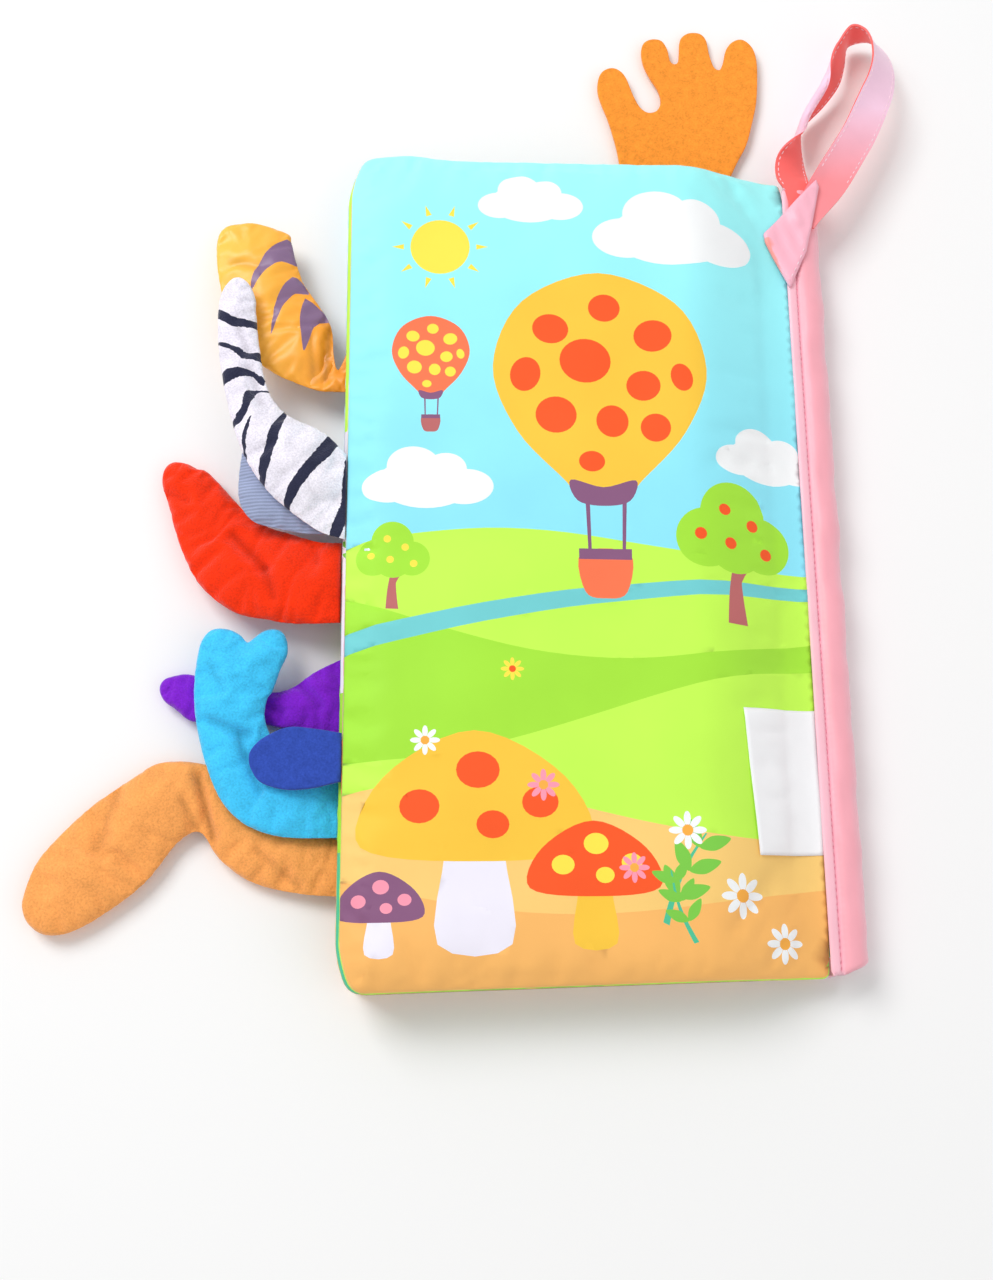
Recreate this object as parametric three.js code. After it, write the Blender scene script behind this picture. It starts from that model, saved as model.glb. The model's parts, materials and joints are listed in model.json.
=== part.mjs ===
// Crinkle cloth book with animal tails, a felt antler and a hanging strap.
// Millimetres. +Z is up, +Y points to the top edge of the pages, +X to the spine.
// The book lies shut on its front cover. The origin is the middle of that cover's underside.

import * as THREE from 'three'

// Driving dimensions of the book
const pageWidth = 129
const foreHeight = 240
const spineHeight = 233
const leafCount = 5
const seamGap = 0.3

// Layers of one padded leaf
const clothThick = 0.4
const filmThick = 0.2
const battingThick = 2.35
const layersInside = 3
const leafThick = 2 * clothThick + filmThick + battingThick + layersInside * seamGap
const edgeThick = 2 * clothThick + seamGap

// How the leaves fall off towards their sewn edges
const crownRun = 16
const spineRun = 34
const spineRoom = 2.4
const edgeDroop = 0.55
const foreCorner = 12
const spineCorner = 4
// how far the fore edge of each leaf stands out past the back cover's, from the bottom leaf up
const foreEdgeOut = { front_cover: 0.6, page_one: 0.5, page_two: 0.5, page_three: 1.2, back_cover: 0 }

// Spine tape and the gathered seam edges that it holds
const hingeX = pageWidth / 2
const tapeThick = 0.8
const tapeWidth = 10.9
const tapeRound = 5
const spineLength = 232
const hingeHeight = leafCount * spineRoom - seamGap

// Tails, tabs and felt
const tailSeam = 0.8
const feltThick = 1.6
const ribbonThick = 1

const colours = {
  skyCloth: '#a9f4ff', paleCloth: '#f4f1ff', limeCloth: '#c8f25c', sandCloth: '#ffc673',
  film: '#e4e6ee', batting: '#f7f6f2', tape: '#ffb3bf', ribbon: '#ff8f92', label: '#fbfbfd',
  zebra: '#f1eef8', tuft: '#3550b0', grey: '#a3aecf', red: '#f23a16', tiger: '#ffb840',
  fish: '#38bdf2', purple: '#7a1fc0', tan: '#f0954f', antler: '#ffa145',
}

function cloth (colour, roughness = 0.85) {
  return new THREE.MeshStandardMaterial({ color: colour, roughness, metalness: 0 })
}

function piece (name, geometry, colour, roughness) {
  const mesh = new THREE.Mesh(geometry, cloth(colour, roughness))
  mesh.name = name
  return mesh
}

// A closed body between an upper and a lower sheet over one grid of { x, y, low, high } points.
// Rows run away from the spine and the points of a row run along +Y.
function slab (rows) {
  const across = rows[0].length
  const count = rows.length * across
  const position = []
  for (const side of ['high', 'low']) {
    for (const row of rows) for (const p of row) position.push(p.x, p.y, p[side])
  }
  const index = []
  const quad = (a, b, c, d) => index.push(a, b, c, a, c, d)
  const top = (i, j) => i * across + j
  const under = (i, j) => count + top(i, j)
  const lastRow = rows.length - 1
  const lastColumn = across - 1
  for (let i = 0; i < lastRow; i++) {
    for (let j = 0; j < lastColumn; j++) {
      quad(top(i, j), top(i, j + 1), top(i + 1, j + 1), top(i + 1, j))
      index.push(under(i, j), under(i + 1, j + 1), under(i, j + 1))
      index.push(under(i, j), under(i + 1, j), under(i + 1, j + 1))
    }
  }
  for (let j = 0; j < lastColumn; j++) {
    quad(top(0, j), under(0, j), under(0, j + 1), top(0, j + 1))
    quad(top(lastRow, j + 1), under(lastRow, j + 1), under(lastRow, j), top(lastRow, j))
  }
  for (let i = 0; i < lastRow; i++) {
    quad(top(i + 1, 0), under(i + 1, 0), under(i, 0), top(i, 0))
    quad(top(i, lastColumn), under(i, lastColumn), under(i + 1, lastColumn), top(i + 1, lastColumn))
  }
  return surface(position, index)
}

function surface (position, index) {
  const geometry = new THREE.BufferGeometry()
  geometry.setAttribute('position', new THREE.Float32BufferAttribute(position, 3))
  geometry.setIndex(index)
  geometry.computeVertexNormals()
  return geometry
}

// Padded leaves

const leafNames = ['front_cover', 'page_one', 'page_two', 'page_three', 'back_cover']
const leafColours = {
  front_cover: [colours.paleCloth, colours.skyCloth],
  page_one: [colours.sandCloth, colours.limeCloth],
  page_two: [colours.limeCloth, colours.skyCloth],
  page_three: [colours.paleCloth, colours.limeCloth],
  back_cover: [colours.sandCloth, colours.skyCloth],
}
// places of the grid lines across a leaf, as shares of its width, and along it, of its half height
const acrossShares = [0, 0.03, 0.08, 0.15, 0.22, 0.29, 0.58, 0.87, 0.92, 0.96, 0.985, 1]
const alongShares = [-1, -0.98, -0.945, -0.87, -0.44, 0, 0.44, 0.87, 0.945, 0.98, 1]
// how many grid lines at each edge of a leaf the layers inside it stop short of
const bareLines = { spine: 3, fore: 2, ends: 2 }

const quarterRound = (distance) => {
  const left = 1 - Math.min(distance / crownRun, 1)
  return Math.sqrt(1 - left * left)
}
const spineRise = (distance) => THREE.MathUtils.smoothstep(distance, 0, spineRun)

// thickness of a leaf and room for it in the stack, at a distance from the spine and from the edges
function leafSection (fromSpine, fromFore, fromEnd) {
  const crown = quarterRound(fromFore) * quarterRound(fromEnd)
  const rise = spineRise(fromSpine)
  return {
    thick: edgeThick + (leafThick - edgeThick) * rise * crown,
    room: spineRoom + (leafThick + seamGap - spineRoom) * rise - edgeDroop * (1 - crown),
  }
}

// moves a grid point of a square corner onto a round one
function roundedCorner (fromSide, fromEnd, radius) {
  if (fromSide >= radius || fromEnd >= radius) return [fromSide, fromEnd]
  const a = 1 - fromSide / radius
  const b = 1 - fromEnd / radius
  return [
    radius * (1 - a * Math.sqrt(1 - b * b / 2)),
    radius * (1 - b * Math.sqrt(1 - a * a / 2)),
  ]
}

const halfHeightAt = (share) => THREE.MathUtils.lerp(spineHeight, foreHeight, share) / 2

function leafPoint (level, width, acrossShare, alongShare) {
  const halfHeight = halfHeightAt(acrossShare)
  let fromSpine = width * acrossShare
  let fromFore = width - fromSpine
  let fromEnd = halfHeight * (1 - Math.abs(alongShare))
  const section = leafSection(fromSpine, fromFore, fromEnd)
  if (fromFore < fromSpine) {
    [fromFore, fromEnd] = roundedCorner(fromFore, fromEnd, foreCorner)
    fromSpine = width - fromFore
  } else {
    [fromSpine, fromEnd] = roundedCorner(fromSpine, fromEnd, spineCorner)
  }
  const middle = (level + 1 / 2) * section.room - seamGap / 2
  return {
    x: hingeX - seamGap / 2 - fromSpine,
    y: Math.sign(alongShare) * (halfHeight - fromEnd),
    low: middle - section.thick / 2,
    high: middle + section.thick / 2,
  }
}

function leafGrid (level, width, inner) {
  const across = inner ? acrossShares.slice(bareLines.spine, -bareLines.fore) : acrossShares
  const along = inner ? alongShares.slice(bareLines.ends, -bareLines.ends) : alongShares
  return across.map((a) => along.map((b) => leafPoint(level, width, a, b)))
}

const between = (rows, low, high) => rows.map((row) => row.map((p) => {
  return { x: p.x, y: p.y, low: low(p), high: high(p) }
}))

function leafLayers (name, level) {
  const width = pageWidth - seamGap / 2 + foreEdgeOut[name]
  const whole = leafGrid(level, width, false)
  const inside = leafGrid(level, width, true)
  const filmTop = clothThick + seamGap
  const battingTop = filmTop + filmThick + seamGap
  const [underColour, upperColour] = leafColours[name]
  return [
    piece(`${name}_lower_cloth`, slab(between(whole, (p) => p.low, (p) => p.low + clothThick)),
      underColour),
    piece(`${name}_batting`, slab(between(inside, (p) => p.low + clothThick + seamGap,
      (p) => p.high - battingTop)), colours.batting, 0.95),
    piece(`${name}_crinkle_film`, slab(between(inside, (p) => p.high - filmTop - filmThick,
      (p) => p.high - filmTop)), colours.film, 0.2),
    piece(`${name}_upper_cloth`, slab(between(whole, (p) => p.high - clothThick, (p) => p.high)),
      upperColour),
  ]
}

// height of the sewn fore edge of a leaf over the table
const foreEdgeHeight = (name) => {
  const { room } = leafSection(pageWidth, 0, foreHeight / 2)
  return (leafNames.indexOf(name) + 1 / 2) * room - seamGap / 2
}
const foreEdgeX = (name) => hingeX - pageWidth - foreEdgeOut[name] - seamGap

// Care label, sewn into the spine seam and lying on the back cover
const labelFrom = 2
const labelTo = 21.5
const labelLength = 39.5
const labelFromEnd = 32
const labelThick = 0.4

function careLabel () {
  const stops = acrossShares.map((share) => share * pageWidth)
  const columns = [labelFrom, ...stops.filter((u) => u > labelFrom && u < labelTo), labelTo]
  const level = leafNames.indexOf('back_cover')
  const labelEnd = labelFromEnd - spineHeight / 2
  const rows = columns.map((fromSpine) => {
    const { thick, room } = leafSection(fromSpine, pageWidth, foreHeight)
    const low = (level + 1 / 2) * room - seamGap / 2 + thick / 2 + seamGap
    const x = hingeX - seamGap / 2 - fromSpine
    return [labelEnd, labelEnd + labelLength].map((y) => ({ x, y, low, high: low + labelThick }))
  })
  return piece('care_label', slab(rows), colours.label, 0.4)
}

// Stuffed tails, each a row of ribs from its root seam to its tip.
// A rib is the lower edge point and the upper edge point, in shares of the tail's reach from its
// root, then the height as a share of the root's, then how full the stuffing is there.
// tipShares is how far the tip stands out past the last rib, from one edge to the other.
// alongShare is the root's place up the fore edge, as a share of half its height.

const roundTipShares = [0, 0.6, 0.9, 1, 0.9, 0.6, 0]
const forkedTipShares = [0, 1, 0.6, -0.35, 0.5, 0.9, 0]

const tails = {
  zebra_tail: {
    leaf: 'back_cover', colour: colours.zebra, reach: 37, alongShare: 0.1167, plump: 6, tip: 2.2,
    tipShares: roundTipShares,
    ribShares: [
      [0, -0.326, 0, 0.35, 1, 0.2],
      [0.194, -0.257, 0.172, 0.517, 1.05, 0.65],
      [0.418, -0.093, 0.391, 0.628, 1.1, 0.9],
      [0.585, 0.064, 0.515, 0.732, 1.1, 1],
      [0.744, 0.31, 0.596, 0.88, 1.065, 1],
      [0.847, 0.586, 0.651, 1.081, 1.015, 0.95],
      [0.921, 0.883, 0.692, 1.344, 0.965, 0.95],
      [0.982, 1.223, 0.716, 1.564, 0.93, 0.95],
      [1.011, 1.55, 0.723, 1.741, 0.91, 0.9],
      [0.982, 1.76, 0.789, 1.8, 0.895, 0.5],
    ],
  },
  grey_ribbed_tail: {
    leaf: 'page_three', colour: colours.grey, reach: 28, alongShare: 0.125, plump: 3.6, tip: 2,
    tipShares: roundTipShares,
    ribShares: [
      [0, -0.314, 0, 0.344, 1, 0.25],
      [0.177, -0.361, 0.145, 0.586, 1.025, 0.8],
      [0.424, -0.342, 0.33, 0.746, 1.03, 0.95],
      [0.673, -0.291, 0.494, 0.854, 1.03, 1],
      [0.863, -0.218, 0.637, 0.94, 1.03, 1],
      [0.988, -0.029, 0.76, 1.016, 1.03, 0.9],
      [1.006, 0.226, 0.903, 0.742, 1.03, 0.5],
    ],
  },
  red_tail: {
    leaf: 'page_three', colour: colours.red, reach: 52, alongShare: -0.0708, plump: 6.4, tip: 1.8,
    tipShares: roundTipShares,
    ribShares: [
      [0, -0.229, 0, 0.221, 1, 0.15],
      [0.125, -0.228, 0.135, 0.235, 0.9, 0.55],
      [0.275, -0.22, 0.288, 0.295, 0.75, 0.85],
      [0.428, -0.188, 0.422, 0.346, 0.63, 1],
      [0.56, -0.156, 0.525, 0.411, 0.56, 1],
      [0.693, -0.075, 0.618, 0.512, 0.49, 1],
      [0.82, 0.061, 0.707, 0.613, 0.404, 1],
      [0.924, 0.282, 0.789, 0.695, 0.347, 0.95],
      [0.99, 0.488, 0.853, 0.735, 0.303, 0.85],
      [0.993, 0.625, 0.942, 0.715, 0.274, 0.5],
    ],
  },
  tiger_tail: {
    leaf: 'page_two', colour: colours.tiger, reach: 40, alongShare: 0.4667, plump: 5, tip: 1.6,
    tipShares: roundTipShares,
    ribShares: [
      [0, -0.16, 0, 0.17, 1, 0.2],
      [0.222, -0.147, 0.124, 0.343, 1, 0.7],
      [0.462, -0.055, 0.237, 0.527, 1, 0.9],
      [0.661, 0.079, 0.335, 0.674, 0.985, 1],
      [0.813, 0.288, 0.391, 0.832, 0.955, 1],
      [0.925, 0.569, 0.416, 0.924, 0.935, 1],
      [0.981, 0.856, 0.441, 1.026, 0.915, 0.9],
      [0.983, 1.06, 0.473, 1.1, 0.895, 0.6],
      [0.86, 1.155, 0.6, 1.165, 0.895, 0.3],
    ],
  },
  light_blue_tail: {
    leaf: 'page_two', colour: colours.fish, reach: 41, alongShare: -0.575, plump: 5.8, tip: 4,
    tipShares: forkedTipShares,
    ribShares: [
      [0, -0.246, 0, 0.254, 1, 0.2],
      [0.234, -0.245, 0.181, 0.302, 0.995, 0.7],
      [0.43, -0.224, 0.307, 0.323, 0.975, 0.95],
      [0.627, -0.145, 0.401, 0.371, 0.955, 1],
      [0.782, 0.007, 0.469, 0.439, 0.935, 1],
      [0.876, 0.207, 0.513, 0.555, 0.915, 1],
      [0.928, 0.374, 0.503, 0.678, 0.915, 1],
      [0.969, 0.576, 0.465, 0.746, 0.915, 1],
      [0.985, 0.781, 0.423, 0.884, 0.915, 0.9],
      [0.966, 0.967, 0.39, 1, 0.915, 0.7],
      [0.9, 1.07, 0.43, 1.08, 0.915, 0.4],
    ],
  },
  purple_tail: {
    leaf: 'page_one', colour: colours.purple, reach: 50, alongShare: -0.3292, plump: 4.6, tip: 1.6,
    tipShares: roundTipShares,
    ribShares: [
      [0, -0.217, 0, 0.218, 1, 0.2],
      [0.16, -0.196, 0.151, 0.143, 0.82, 0.7],
      [0.327, -0.169, 0.305, 0.045, 0.65, 0.95],
      [0.521, -0.133, 0.499, 0.037, 0.565, 1],
      [0.687, -0.11, 0.683, 0.083, 0.547, 1],
      [0.826, -0.086, 0.835, 0.135, 0.513, 1],
      [0.936, -0.075, 0.945, 0.129, 0.513, 0.85],
      [0.985, -0.035, 0.99, 0.09, 0.513, 0.5],
    ],
  },
  tan_tail: {
    leaf: 'page_one', colour: colours.tan, reach: 84, alongShare: -0.725, plump: 6.6, tip: 2,
    tipShares: roundTipShares,
    ribShares: [
      [0, -0.087, 0, 0.09, 1, 0.15],
      [0.093, -0.079, 0.093, 0.125, 0.8, 0.5],
      [0.196, -0.062, 0.17, 0.16, 0.65, 0.8],
      [0.292, -0.03, 0.24, 0.185, 0.62, 0.85],
      [0.384, 0.04, 0.31, 0.235, 0.62, 0.85],
      [0.45, 0.125, 0.385, 0.32, 0.63, 0.85],
      [0.52, 0.09, 0.48, 0.352, 0.66, 0.9],
      [0.609, -0.028, 0.59, 0.349, 0.684, 1],
      [0.7, -0.107, 0.674, 0.297, 0.684, 1],
      [0.775, -0.159, 0.782, 0.219, 0.684, 1],
      [0.845, -0.193, 0.872, 0.132, 0.684, 0.95],
      [0.914, -0.199, 0.954, 0.03, 0.684, 0.85],
      [0.965, -0.17, 0.99, -0.08, 0.684, 0.5],
    ],
  },
  blue_felt_tuft: {
    leaf: 'back_cover', colour: colours.tuft, reach: 25, alongShare: -0.4917, plump: feltThick, tip: 0.8,
    flat: true, tipShares: roundTipShares,
    ribShares: [
      [0, -0.254, 0, 0.273, 1, 1],
      [0.316, -0.322, 0.267, 0.323, 0.952, 1],
      [0.604, -0.327, 0.569, 0.352, 0.908, 1],
      [0.852, -0.246, 0.825, 0.25, 0.863, 1],
      [0.955, -0.113, 0.96, 0.123, 0.84, 1],
    ],
  },
}

// how blunt a stuffed tail's edges are: a half is an ellipse, and 1 a lens with sharp edges
const swellPower = 0.6

// half the thickness of a tail at a place across it, from 0 at one edge to 1 at the other
function stuffedHalf (tail, across, full) {
  if (tail.flat) return tail.plump / 2
  const fromMiddle = 2 * across - 1
  const swell = Math.pow(Math.max(1 - fromMiddle * fromMiddle, 0), swellPower)
  return Math.max(tailSeam / 2, tail.plump * full * swell / 2)
}

function tailRow (tail, rib, past) {
  const [lowX, lowY, highX, highY, rise, full] = rib
  const rootX = foreEdgeX(tail.leaf)
  const along = tail.alongShare * foreHeight / 2
  const height = foreEdgeHeight(tail.leaf) * rise
  const edge = new THREE.Vector2(highX - lowX, highY - lowY).normalize()
  return tail.tipShares.map((tipShare, j) => {
    const across = j / (tail.tipShares.length - 1)
    const out = past ? tail.tip * tipShare : 0
    const x = THREE.MathUtils.lerp(lowX, highX, across) * tail.reach + edge.y * out
    const y = THREE.MathUtils.lerp(lowY, highY, across) * tail.reach - edge.x * out
    const half = past && !tail.flat ? tailSeam / 2 : stuffedHalf(tail, across, full)
    return { x: rootX - x, y: along + y, low: height - half, high: height + half }
  })
}

function tailPiece (name) {
  const tail = tails[name]
  const rows = tail.ribShares.map((rib) => tailRow(tail, rib, false))
  rows.push(tailRow(tail, tail.ribShares.at(-1), true))
  return piece(name, slab(rows), tail.colour, 0.95)
}

// Felt antler, sewn into the top seam of the front cover

const antlerReach = 59.6
const antlerFromSpine = 29.5
const antlerSegments = 40
// outline from the right end of the root round the four lobes, in shares of the reach
const antlerOutlineShares = [
  [0.27, 0], [0.275, 0.1], [0.35, 0.31], [0.42, 0.51], [0.435, 0.72], [0.35, 0.95], [0.27, 0.94],
  [0.2, 0.745], [0.165, 0.94], [0.11, 1], [0.04, 0.95], [-0.03, 0.775], [-0.08, 0.87], [-0.14, 0.88],
  [-0.19, 0.5], [-0.23, 0.53], [-0.31, 0.74], [-0.37, 0.755], [-0.41, 0.66], [-0.38, 0.38],
  [-0.335, 0.11], [-0.3, 0],
]

function feltAntler () {
  const points = antlerOutlineShares.map(([a, b]) => new THREE.Vector2(a, b).multiplyScalar(antlerReach))
  const shape = new THREE.Shape()
  shape.moveTo(points[0].x, points[0].y)
  shape.splineThru(points.slice(1))
  shape.closePath()
  const geometry = new THREE.ExtrudeGeometry(shape, {
    depth: feltThick, bevelEnabled: false, curveSegments: antlerSegments,
  })
  const seamHeight = (leafSection(pageWidth / 2, pageWidth / 2, 0).room - seamGap) / 2
  const leftFromSpine = antlerFromSpine - antlerOutlineShares.at(-1)[0] * antlerReach
  const edgeY = halfHeightAt(leftFromSpine / pageWidth)
  geometry.translate(hingeX - antlerFromSpine, edgeY + seamGap, seamHeight - feltThick / 2)
  return piece('felt_antler', geometry, colours.antler, 0.95)
}

// Spine: the leaves' seam edges, sewn together, and the tape wrapped round them

const roundSegments = 6

function alongSpine (shape) {
  const geometry = new THREE.ExtrudeGeometry(shape, {
    depth: spineLength, bevelEnabled: false, curveSegments: roundSegments,
  })
  geometry.rotateX(Math.PI / 2)
  geometry.translate(0, spineLength / 2, 0)
  return geometry
}

// walks round the outside of the spine's section, drawn in by an inset on three sides
function spineSide (path, inset, upwards) {
  const right = hingeX + seamGap + tapeWidth - inset
  const top = hingeHeight - inset
  const round = tapeRound - inset
  const quarter = Math.PI / 2
  if (upwards) {
    path.absarc(right - round, inset + round, round, -quarter, 0, false)
    path.absarc(right - round, top - round, round, 0, quarter, false)
  } else {
    path.absarc(right - round, top - round, round, quarter, 0, true)
    path.absarc(right - round, inset + round, round, 0, -quarter, true)
  }
}

function bindingTape () {
  const left = hingeX + seamGap
  const shape = new THREE.Shape()
  shape.moveTo(left, 0)
  spineSide(shape, 0, true)
  shape.lineTo(left, hingeHeight)
  shape.lineTo(left, hingeHeight - tapeThick)
  spineSide(shape, tapeThick, false)
  shape.lineTo(left, tapeThick)
  shape.closePath()
  return piece('binding_tape', alongSpine(shape), colours.tape, 0.5)
}

function spineSeams () {
  const left = hingeX + seamGap
  const inset = tapeThick + seamGap
  const shape = new THREE.Shape()
  shape.moveTo(left, inset)
  spineSide(shape, inset, true)
  shape.lineTo(left, hingeHeight - inset)
  shape.closePath()
  return piece('spine_seam_edges', alongSpine(shape), colours.paleCloth)
}

// Ribbon at the top of the spine: the folded base sewn on the tape, and the free loop.
// strapPast is how far past the tape's end the free loop starts.

const loopReach = 58
const strapPast = 1.4
const loopRoot = spineLength / 2 + strapPast
const foldOutlineShares = [
  [0, 0], [0.44, 0.28], [0.78, 0.47], [1.6, 0.9], [1.78, 1], [0.41, 1], [0.07, 0.8], [0, 0.75],
]
const foldLength = 35
const foldInset = 1.8

function strapBaseFold () {
  const left = hingeX + seamGap + foldInset
  const points = foldOutlineShares.map(([a, b]) => new THREE.Vector2(a * tapeWidth, b * foldLength))
  const geometry = new THREE.ExtrudeGeometry(new THREE.Shape(points), {
    depth: ribbonThick, bevelEnabled: false,
  })
  geometry.translate(left, loopRoot - foldLength, hingeHeight + seamGap)
  return piece('strap_base_fold', geometry, colours.tape, 0.5)
}

// The loop's ribbon as pairs of edge points, outer then inner, in shares of the loop's reach:
// sideways from the hinge line, away from the root, and up from the table.
const loopRibShares = [
  [0.376, 0, 0.212, 0.142, 0, 0.212],
  [0.45, 0.12, 0.222, 0.255, 0.215, 0.217],
  [0.553, 0.305, 0.241, 0.409, 0.41, 0.241],
  [0.628, 0.505, 0.259, 0.472, 0.557, 0.241],
  [0.653, 0.686, 0.259, 0.524, 0.77, 0.224],
  [0.6, 0.87, 0.24, 0.55, 0.84, 0.19],
  [0.48, 0.965, 0.19, 0.545, 0.85, 0.135],
  [0.38, 1, 0.138, 0.5, 0.84, 0.1],
  [0.283, 0.8, 0.121, 0.369, 0.713, 0.1],
  [0.186, 0.612, 0.155, 0.224, 0.55, 0.075],
  [0.136, 0.489, 0.155, 0.171, 0.462, 0.07],
  [0.06, 0.317, 0.12, 0.167, 0.271, 0.105],
  [0, 0.12, 0.135, 0.15, 0.1, 0.135],
  [0.012, 0, 0.135, 0.125, 0, 0.135],
]

function strapLoop () {
  const edge = (rib, at) => new THREE.Vector3(
    hingeX + seamGap + rib[at] * loopReach,
    loopRoot + seamGap + rib[at + 1] * loopReach,
    rib[at + 2] * loopReach,
  )
  const innerAt = loopRibShares[0].length / 2
  const outer = loopRibShares.map((rib) => edge(rib, 0))
  const inner = loopRibShares.map((rib) => edge(rib, innerAt))
  const position = []
  outer.forEach((a, i) => {
    const b = inner[i]
    const before = Math.max(i - 1, 0)
    const after = Math.min(i + 1, outer.length - 1)
    const along = outer[after].clone().add(inner[after]).sub(outer[before]).sub(inner[before])
    const half = new THREE.Vector3().crossVectors(b.clone().sub(a), along)
    half.setLength(ribbonThick / 2)
    const under = [a.clone().sub(half), b.clone().sub(half)]
    const over = [b.clone().add(half), a.clone().add(half)]
    for (const p of [...under, ...over]) position.push(p.x, p.y, p.z)
  })
  const corners = 4
  const index = [0, 1, 2, 0, 2, 3]
  for (let i = 0; i < outer.length - 1; i++) {
    for (let c = 0; c < corners; c++) {
      const here = i * corners + c
      const beside = i * corners + (c + 1) % corners
      index.push(here, here + corners, beside + corners, here, beside + corners, beside)
    }
  }
  const last = (outer.length - 1) * corners
  index.push(last, last + 2, last + 1, last, last + 3, last + 2)
  return piece('strap_loop', surface(position, index), colours.ribbon, 0.5)
}

const book = new THREE.Group()
leafNames.forEach((name, level) => book.add(...leafLayers(name, level)))
book.add(bindingTape(), spineSeams(), strapBaseFold(), strapLoop(), careLabel(), feltAntler())
book.add(...Object.keys(tails).map(tailPiece))

export default book
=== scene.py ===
# %% [markdown]
# # A crinkle cloth book
#
# A soft book for a baby: five padded leaves of printed cloth with crackling film inside, bound in a
# pink satin tape. Stuffed tails stand out along the fore edge, a felt antler stands out at the top,
# and the binding ribbon runs on past the spine as a hanging strap.
#
# The frame gives the solid of every piece in metres. Each cell below makes one kind of piece in the
# space that its solid holds, and dresses it.

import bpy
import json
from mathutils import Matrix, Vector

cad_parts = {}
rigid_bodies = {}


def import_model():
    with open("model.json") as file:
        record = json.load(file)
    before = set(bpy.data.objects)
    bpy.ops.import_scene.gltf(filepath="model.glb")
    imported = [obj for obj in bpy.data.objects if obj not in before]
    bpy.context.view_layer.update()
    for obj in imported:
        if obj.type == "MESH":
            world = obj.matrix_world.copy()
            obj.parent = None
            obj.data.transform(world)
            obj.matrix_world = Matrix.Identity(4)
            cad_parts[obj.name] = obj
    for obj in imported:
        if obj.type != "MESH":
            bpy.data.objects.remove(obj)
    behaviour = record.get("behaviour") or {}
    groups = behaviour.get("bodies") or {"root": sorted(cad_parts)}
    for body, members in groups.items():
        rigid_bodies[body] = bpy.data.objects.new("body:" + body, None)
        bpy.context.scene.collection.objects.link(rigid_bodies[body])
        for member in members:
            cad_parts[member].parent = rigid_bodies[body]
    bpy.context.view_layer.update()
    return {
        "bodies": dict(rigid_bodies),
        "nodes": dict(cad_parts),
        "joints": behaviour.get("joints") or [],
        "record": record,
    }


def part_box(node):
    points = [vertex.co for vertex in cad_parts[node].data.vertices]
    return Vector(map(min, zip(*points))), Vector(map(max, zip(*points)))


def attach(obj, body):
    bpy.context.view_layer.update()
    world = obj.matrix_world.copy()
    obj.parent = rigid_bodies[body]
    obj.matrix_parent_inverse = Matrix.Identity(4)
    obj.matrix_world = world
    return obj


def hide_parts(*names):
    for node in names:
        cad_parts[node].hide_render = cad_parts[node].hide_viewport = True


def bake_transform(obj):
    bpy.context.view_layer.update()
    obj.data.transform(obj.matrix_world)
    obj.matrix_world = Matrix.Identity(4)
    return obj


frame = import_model()

import json
import math

import bpy
import numpy as np
from mathutils import Matrix, Vector, kdtree
from mathutils.geometry import delaunay_2d_cdt

MM = 0.001

# %% [markdown]
# ## Camera
#
# The photograph looks steeply down on the shut book from beyond its lower edge. A camera is only a
# place, a turn and a focal length, so the turn is written once as an axis times an angle. The focal
# length is counted in pixels of the photograph, because that is how it was measured.

# %% Camera at the photograph's angle
PHOTO_WIDTH = 993
FOCAL_PIXELS = 1500
SENSOR_WIDTH = 36.0
CAMERA_PLACE = Vector((-38.2, -130.2, 411.7)) * MM
CAMERA_TURN = Vector((0.2573, -0.0364, -0.0043))

camera_data = bpy.data.cameras.new("camera")
camera_data.sensor_fit = "HORIZONTAL"
camera_data.sensor_width = SENSOR_WIDTH
camera_data.lens = FOCAL_PIXELS * SENSOR_WIDTH / PHOTO_WIDTH
camera = bpy.data.objects.new("camera", camera_data)
bpy.context.scene.collection.objects.link(camera)
camera.matrix_world = Matrix.Translation(CAMERA_PLACE) @ Matrix.Rotation(
    CAMERA_TURN.length, 4, CAMERA_TURN.normalized())
bpy.context.scene.camera = camera
bpy.context.scene.view_settings.view_transform = "Standard"
print("camera lens", round(camera_data.lens, 2), "mm")

# %% [markdown]
# ## Floor and light
#
# Soft toys look right under broad, even light, so one wide lamp hangs above and the sky gives the
# rest. The background that the camera and the glossy rays see is white, while the light that
# reaches the cloth stays at a level where a colour renders about as it is written. For those rays
# the floor fades to the same white, so that no horizon shows.

# %% Floor, sky and lamps
WHITE = (1, 1, 1, 1)
SKY_LEVEL = 0.55
FLOOR_REACH = 3000.0
FLOOR_DROP = 0.4
# The floor fades to white between these two distances from the book, in metres.
FLOOR_FADE = (0.25, 0.8)
FLOOR_TONE = 0.97


def colour_of(code):
    """A linear colour from the six hex digits that a printer would give."""
    parts = [int(code[i:i + 2], 16) / 255 for i in (0, 2, 4)]
    return tuple(p / 12.92 if p <= 0.04045 else ((p + 0.055) / 1.055) ** 2.4 for p in parts)


def node_of(tree, kind, inputs=None, **settings):
    """Adds one shader node, sets its settings and its unlinked inputs, and returns it."""
    node = tree.nodes.new(kind)
    for key, value in settings.items():
        setattr(node, key, value)
    for key, value in (inputs or {}).items():
        if isinstance(value, bpy.types.NodeSocket):
            tree.links.new(value, node.inputs[key])
        else:
            node.inputs[key].default_value = value
    return node


def maths(tree, operation, first, second):
    """The result of one Math node."""
    return node_of(tree, "ShaderNodeMath", {0: first, 1: second}, operation=operation).outputs[0]


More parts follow.
